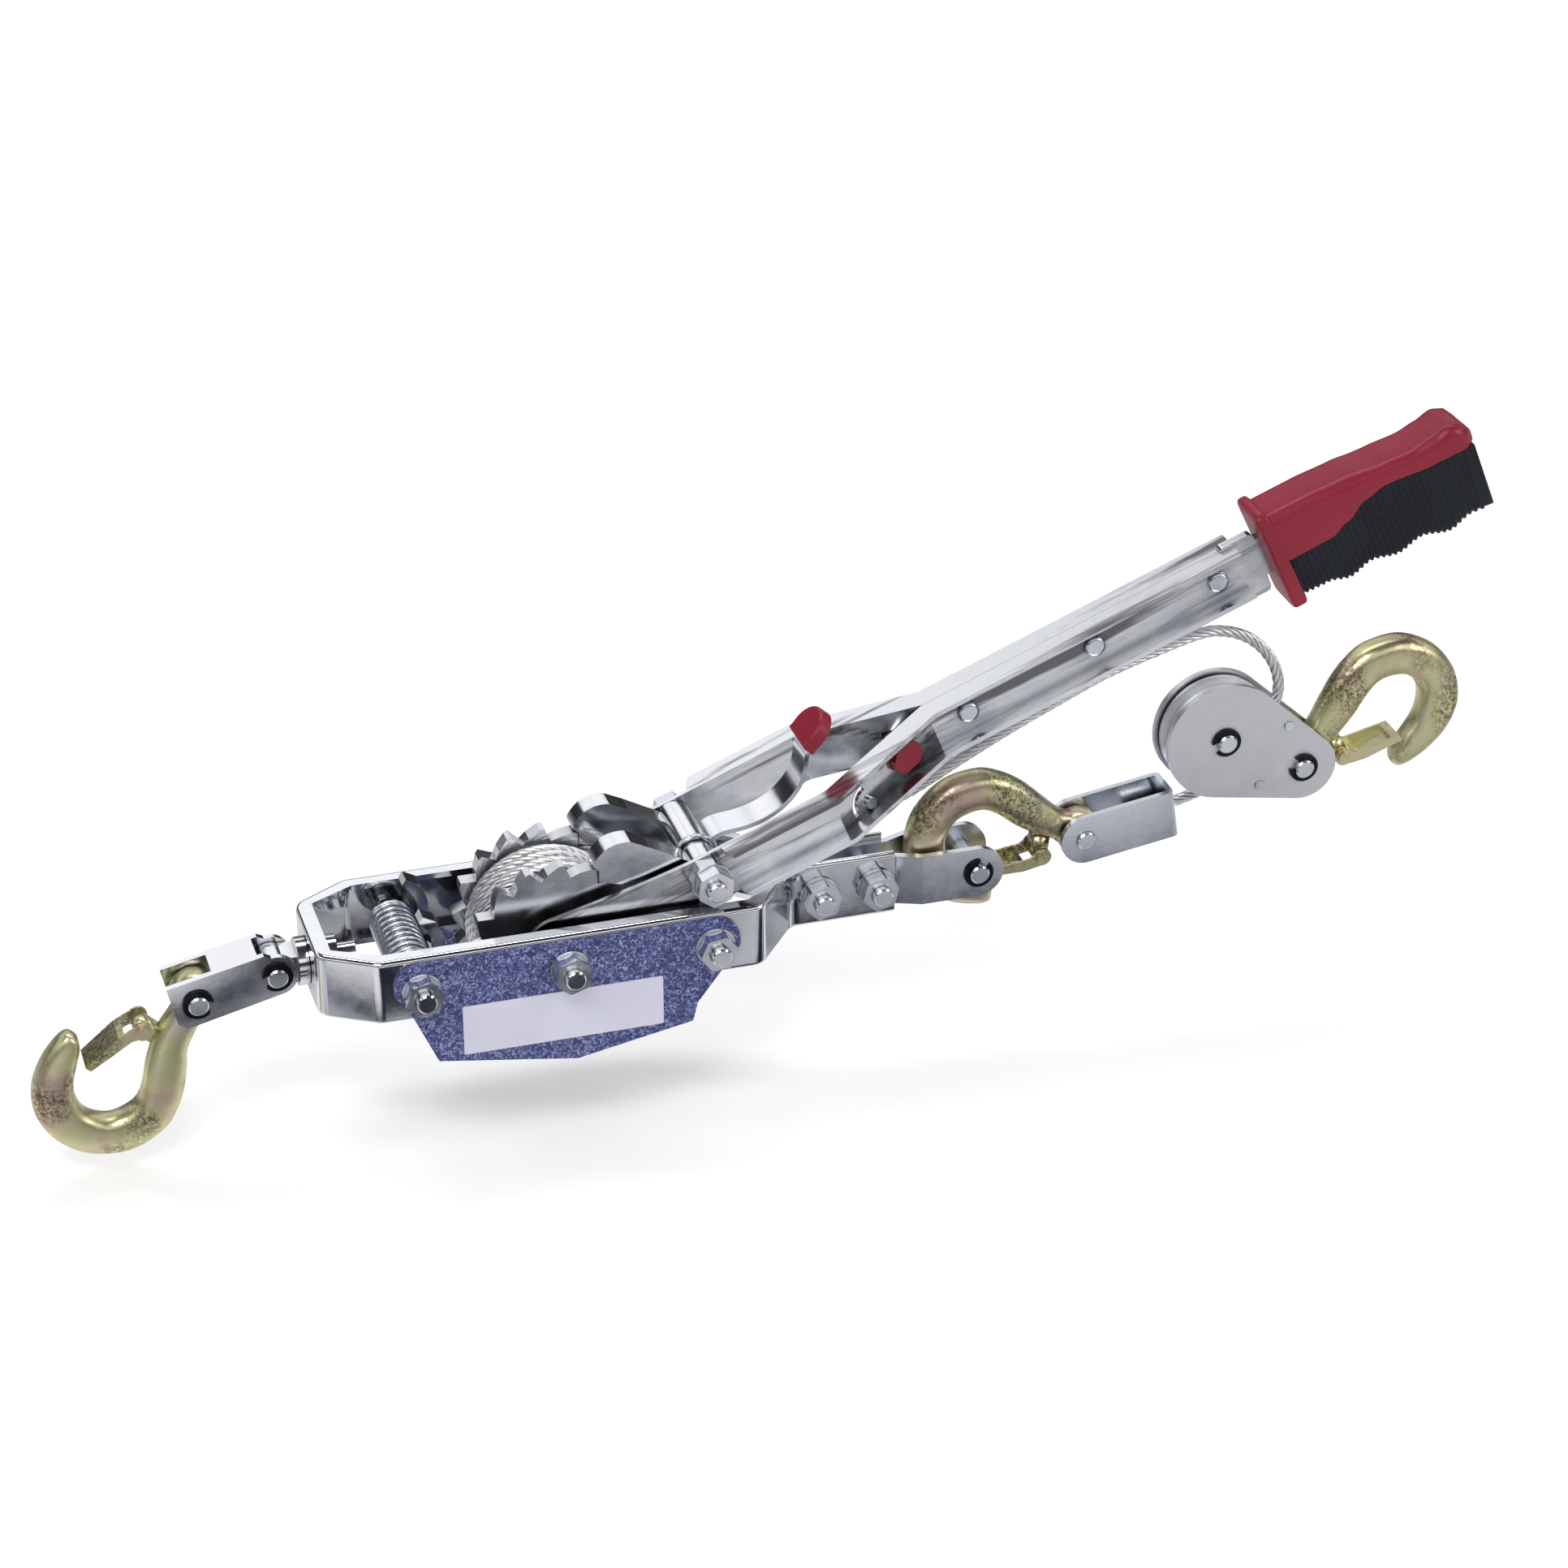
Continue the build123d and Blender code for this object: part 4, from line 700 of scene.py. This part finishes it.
SHELL_START = 404.0
SHELL_END = 519.0
SHELL_STEP = 1.5
NOSE_FROM = 509.0           # the shell's far end narrows from here
NOSE_LENGTH = 11.0
SHELL_ROUND = (1.2, 6.0)    # least and greatest rounding of the top edges
SHELL_RIM = 0.8
shell_rings = []
station = SHELL_START
while station < SHELL_END:
    top = sample(TOP, max(station, TOP[0][0]))
    low = sample(SPLIT, max(station, SPLIT[0][0]))
    into_nose = max(0.0, (station - NOSE_FROM) / NOSE_LENGTH)
    half = GRIP_HALF * math.sqrt(max(0.05, 1 - into_nose ** 2))
    room = max(SHELL_ROUND[0], min(SHELL_ROUND[1], (top - low) * 0.45))
    shell_rings.append(rounded_ring(station, top, low, half, room, SHELL_RIM))
    station += SHELL_STEP
shell_rings.append(rounded_ring(SHELL_END + 0.2, 10.4, 7.4, 4.5, 1.2, 0.6))

# Front flange of the shell: a flat strip with a small lip round its outer edge.
COLLAR = ((-31.9, 403.4, 408.4, 9.5), (-31.0, 402.6, 409.6, 12.6), (-29.0, 402.2, 410.8, 14.1),
          (-20.0, 401.6, 410.4, 14.45), (-4.0, 400.8, 409.4, 14.5), (14.0, 399.8, 408.2, 14.5),
          (22.0, 399.3, 407.0, 14.3), (25.4, 399.6, 405.6, 13.2), (27.2, 400.8, 404.4, 10.6))
COLLAR_SIDES = 40
COLLAR_SQUARENESS = 0.35
collar_rings = []
for t_place, front, rear, half in smooth_path(COLLAR, 4):
    ring = []
    for k in range(COLLAR_SIDES):
        along, across = squared(k, COLLAR_SIDES, COLLAR_SQUARENESS)
        s_place = (front + rear) / 2 + along * (rear - front) / 2
        ring.append(handle_point(s_place, t_place, across * half))
    collar_rings.append(ring)
shell = mesh_object("grip_shell_moulded", *join_data([loft(shell_rings), loft(collar_rings)]))
stand_in(shell, "grip_shell", "handle", "red_plastic")

RIB = 3.05                  # spacing of the ribs
RIB_STEPS = 8
RIB_DEPTH = 0.62
RUBBER_START = 409.2
RUBBER_END = 514.5
PLAIN_END = 3.0             # no ribs this close to the free end
PLAIN_GROOVE = -0.2
RUBBER_INSET = 0.9          # how far the rubber sits in from the shell's side
SEAM = 0.2
LEAN_LENGTH = 12.0
END_FLARE = ((-36, 4.2), (-31, 2.6), (-25, 0.4), (-18, -0.8), (-8, -0.6), (2, 1.2), (8, 2.2))


def rubber_lean(s, t):
    """The rubber's free end is hollowed, flaring out at its bottom corner."""
    share = min(1.0, max(0.0, (s - RUBBER_END + LEAN_LENGTH) / LEAN_LENGTH))
    return share * share * sample(END_FLARE, t)


rubber_rings = []
station = RUBBER_START
while station < RUBBER_END:
    wave = math.cos(2 * math.pi * (station - RUBBER_START) / RIB)
    ribbed = station < RUBBER_END - PLAIN_END
    groove = RIB_DEPTH * max(-0.5, wave) if ribbed else PLAIN_GROOVE
    top = sample(SPLIT, station) - SEAM
    bottom = sample(BOTTOM, station) - groove * 0.9
    half = GRIP_HALF - RUBBER_INSET + groove * 0.8
    rubber_rings.append(rounded_ring(station, top, bottom, half, 0.5, 6.5, rubber_lean))
    station += RIB / RIB_STEPS
rubber = mesh_object("grip_rubber_ribbed", *loft(rubber_rings))
stand_in(rubber, "grip_rubber", "handle", "dark_rubber")


# ---------------------------------------------------------------- studio
FLOOR_HALF = 4.0
FLOOR_DROP = 0.012
FLOOR_GLOW = 0.22           # lifts the floor's white next to the part
FAR_GLOW = 0.8              # more of it away from the part
FAR_FROM, FAR_TO = 0.6, 1.7
CARD_GLOW = 0.8
floor_z = START_BOX[0][2] - FLOOR_DROP
floor_corners = [(x * FLOOR_HALF, y * FLOOR_HALF, floor_z)
                 for x, y in ((-1, -1), (1, -1), (1, 1), (-1, 1))]
floor = mesh_object("floor", floor_corners, [(0, 1, 2, 3)], False)
tree = Tree("floor_look")
floor.data.materials.append(tree.finish((0.9, 0.9, 0.9), tree.span(tree.noise(8), 0.75, 0.85),
                                        **{"Emission Color": (1.0, 1.0, 1.0)}))
seen_by = tree.nodes.new("ShaderNodeLightPath")

# The floor fades to the plain white background away from the part, for the camera only.
spot = tree.nodes.new("ShaderNodeNewGeometry")
reach = tree.nodes.new("ShaderNodeVectorMath")
reach.operation = "LENGTH"
tree.link(spot.outputs["Position"], reach.inputs[0])
far = tree.span(reach.outputs["Value"], 0.0, FAR_GLOW, FAR_FROM, FAR_TO)
glow = tree.arith("MULTIPLY_ADD", far, seen_by.outputs["Is Camera Ray"], FLOOR_GLOW)
tree.link(glow, tree.bsdf.inputs["Emission Strength"])

# Mirror-bright metal sees a darker, streaked floor than the camera does, as between cards.
streaks = tree.ramp(tree.noise(5.5, 2, 0.5, stretch=(0.6, 1.6, 1.0), distort=0.5),
                    [(0.38, (0.02, 0.022, 0.035)), (0.45, (0.50, 0.51, 0.55)),
                     (0.56, (1.0, 1.0, 1.0))])
card = tree.nodes.new("ShaderNodeEmission")
tree.link(streaks, card.inputs["Color"])
card.inputs["Strength"].default_value = CARD_GLOW
pick = tree.nodes.new("ShaderNodeMixShader")
tree.link(seen_by.outputs["Is Glossy Ray"], pick.inputs[0])
tree.link(tree.bsdf.outputs["BSDF"], pick.inputs[1])
tree.link(card.outputs["Emission"], pick.inputs[2])
tree.link(pick.outputs["Shader"], tree.nodes["Material Output"].inputs["Surface"])


def light(name, place, aim, size, power):
    """A soft rectangular lamp pointed at aim."""
    data = bpy.data.lights.new(name, "AREA")
    data.shape = "RECTANGLE"
    data.size, data.size_y = size
    data.energy = power
    obj = bpy.data.objects.new(name, data)
    bpy.context.collection.objects.link(obj)
    obj.location = place
    obj.rotation_euler = (Vector(aim) - Vector(place)).to_track_quat("-Z", "Y").to_euler()


# Metres and watts.
LIT_POINT = (0.12, 0, 0.03)
light("key", (-0.6, -1.0, 1.5), LIT_POINT, (0.9, 0.5), 13)
light("top", (0.3, 0.5, 1.5), LIT_POINT, (1.6, 0.35), 9)
light("fill", (1.4, -0.9, 0.7), LIT_POINT, (0.5, 0.8), 5)

# The surroundings: wavy bright and dark bands for reflections, an even grey for soft light,
# plain white for the camera.
BANDS = ((0.0, 0.45), (0.20, 0.12), (0.30, 0.02), (0.50, 0.04), (0.56, 0.95), (0.76, 1.1),
         (0.82, 0.12), (0.97, 0.03))
BAND_COOLNESS = 1.03
BAND_WAVE = 0.34
world = bpy.data.worlds.new("studio")
bpy.context.scene.world = world
sky = Nodes(world, "Generated")
height = sky.nodes.new("ShaderNodeSeparateXYZ")
sky.link(sky.coord, height.inputs[0])
waved = sky.arith("MULTIPLY_ADD", sky.noise(2.6, 2.0), BAND_WAVE, height.outputs["Z"])
bands = sky.ramp(waved, [(place, (value, value, value * BAND_COOLNESS)) for place, value in BANDS])
world_seen_by = sky.nodes.new("ShaderNodeLightPath")
soft = sky.mix(world_seen_by.outputs["Is Diffuse Ray"], bands, (0.55, 0.55, 0.56))
whole = sky.mix(world_seen_by.outputs["Is Camera Ray"], soft, (1.0, 1.0, 1.0))
sky.link(whole, sky.nodes["Background"].inputs["Color"])

# ---------------------------------------------------------------- camera
AZIMUTH = rad(-17)
ELEVATION = rad(28.5)
DISTANCE = 2.0
TARGET = Vector((0.1219, 0.0, 0.0583))
SENSOR_MM = 36
LENS_MM = 93.17
back = Vector((math.sin(AZIMUTH) * math.cos(ELEVATION), -math.cos(AZIMUTH) * math.cos(ELEVATION),
               math.sin(ELEVATION)))
camera_data = bpy.data.cameras.new("camera")
camera_data.sensor_width = SENSOR_MM
camera_data.lens = LENS_MM
camera = bpy.data.objects.new("camera", camera_data)
bpy.context.collection.objects.link(camera)
camera.location = TARGET + back * DISTANCE
camera.rotation_euler = (-back).to_track_quat("-Z", "Y").to_euler()
bpy.context.scene.camera = camera
bpy.context.scene.view_settings.view_transform = "Standard"
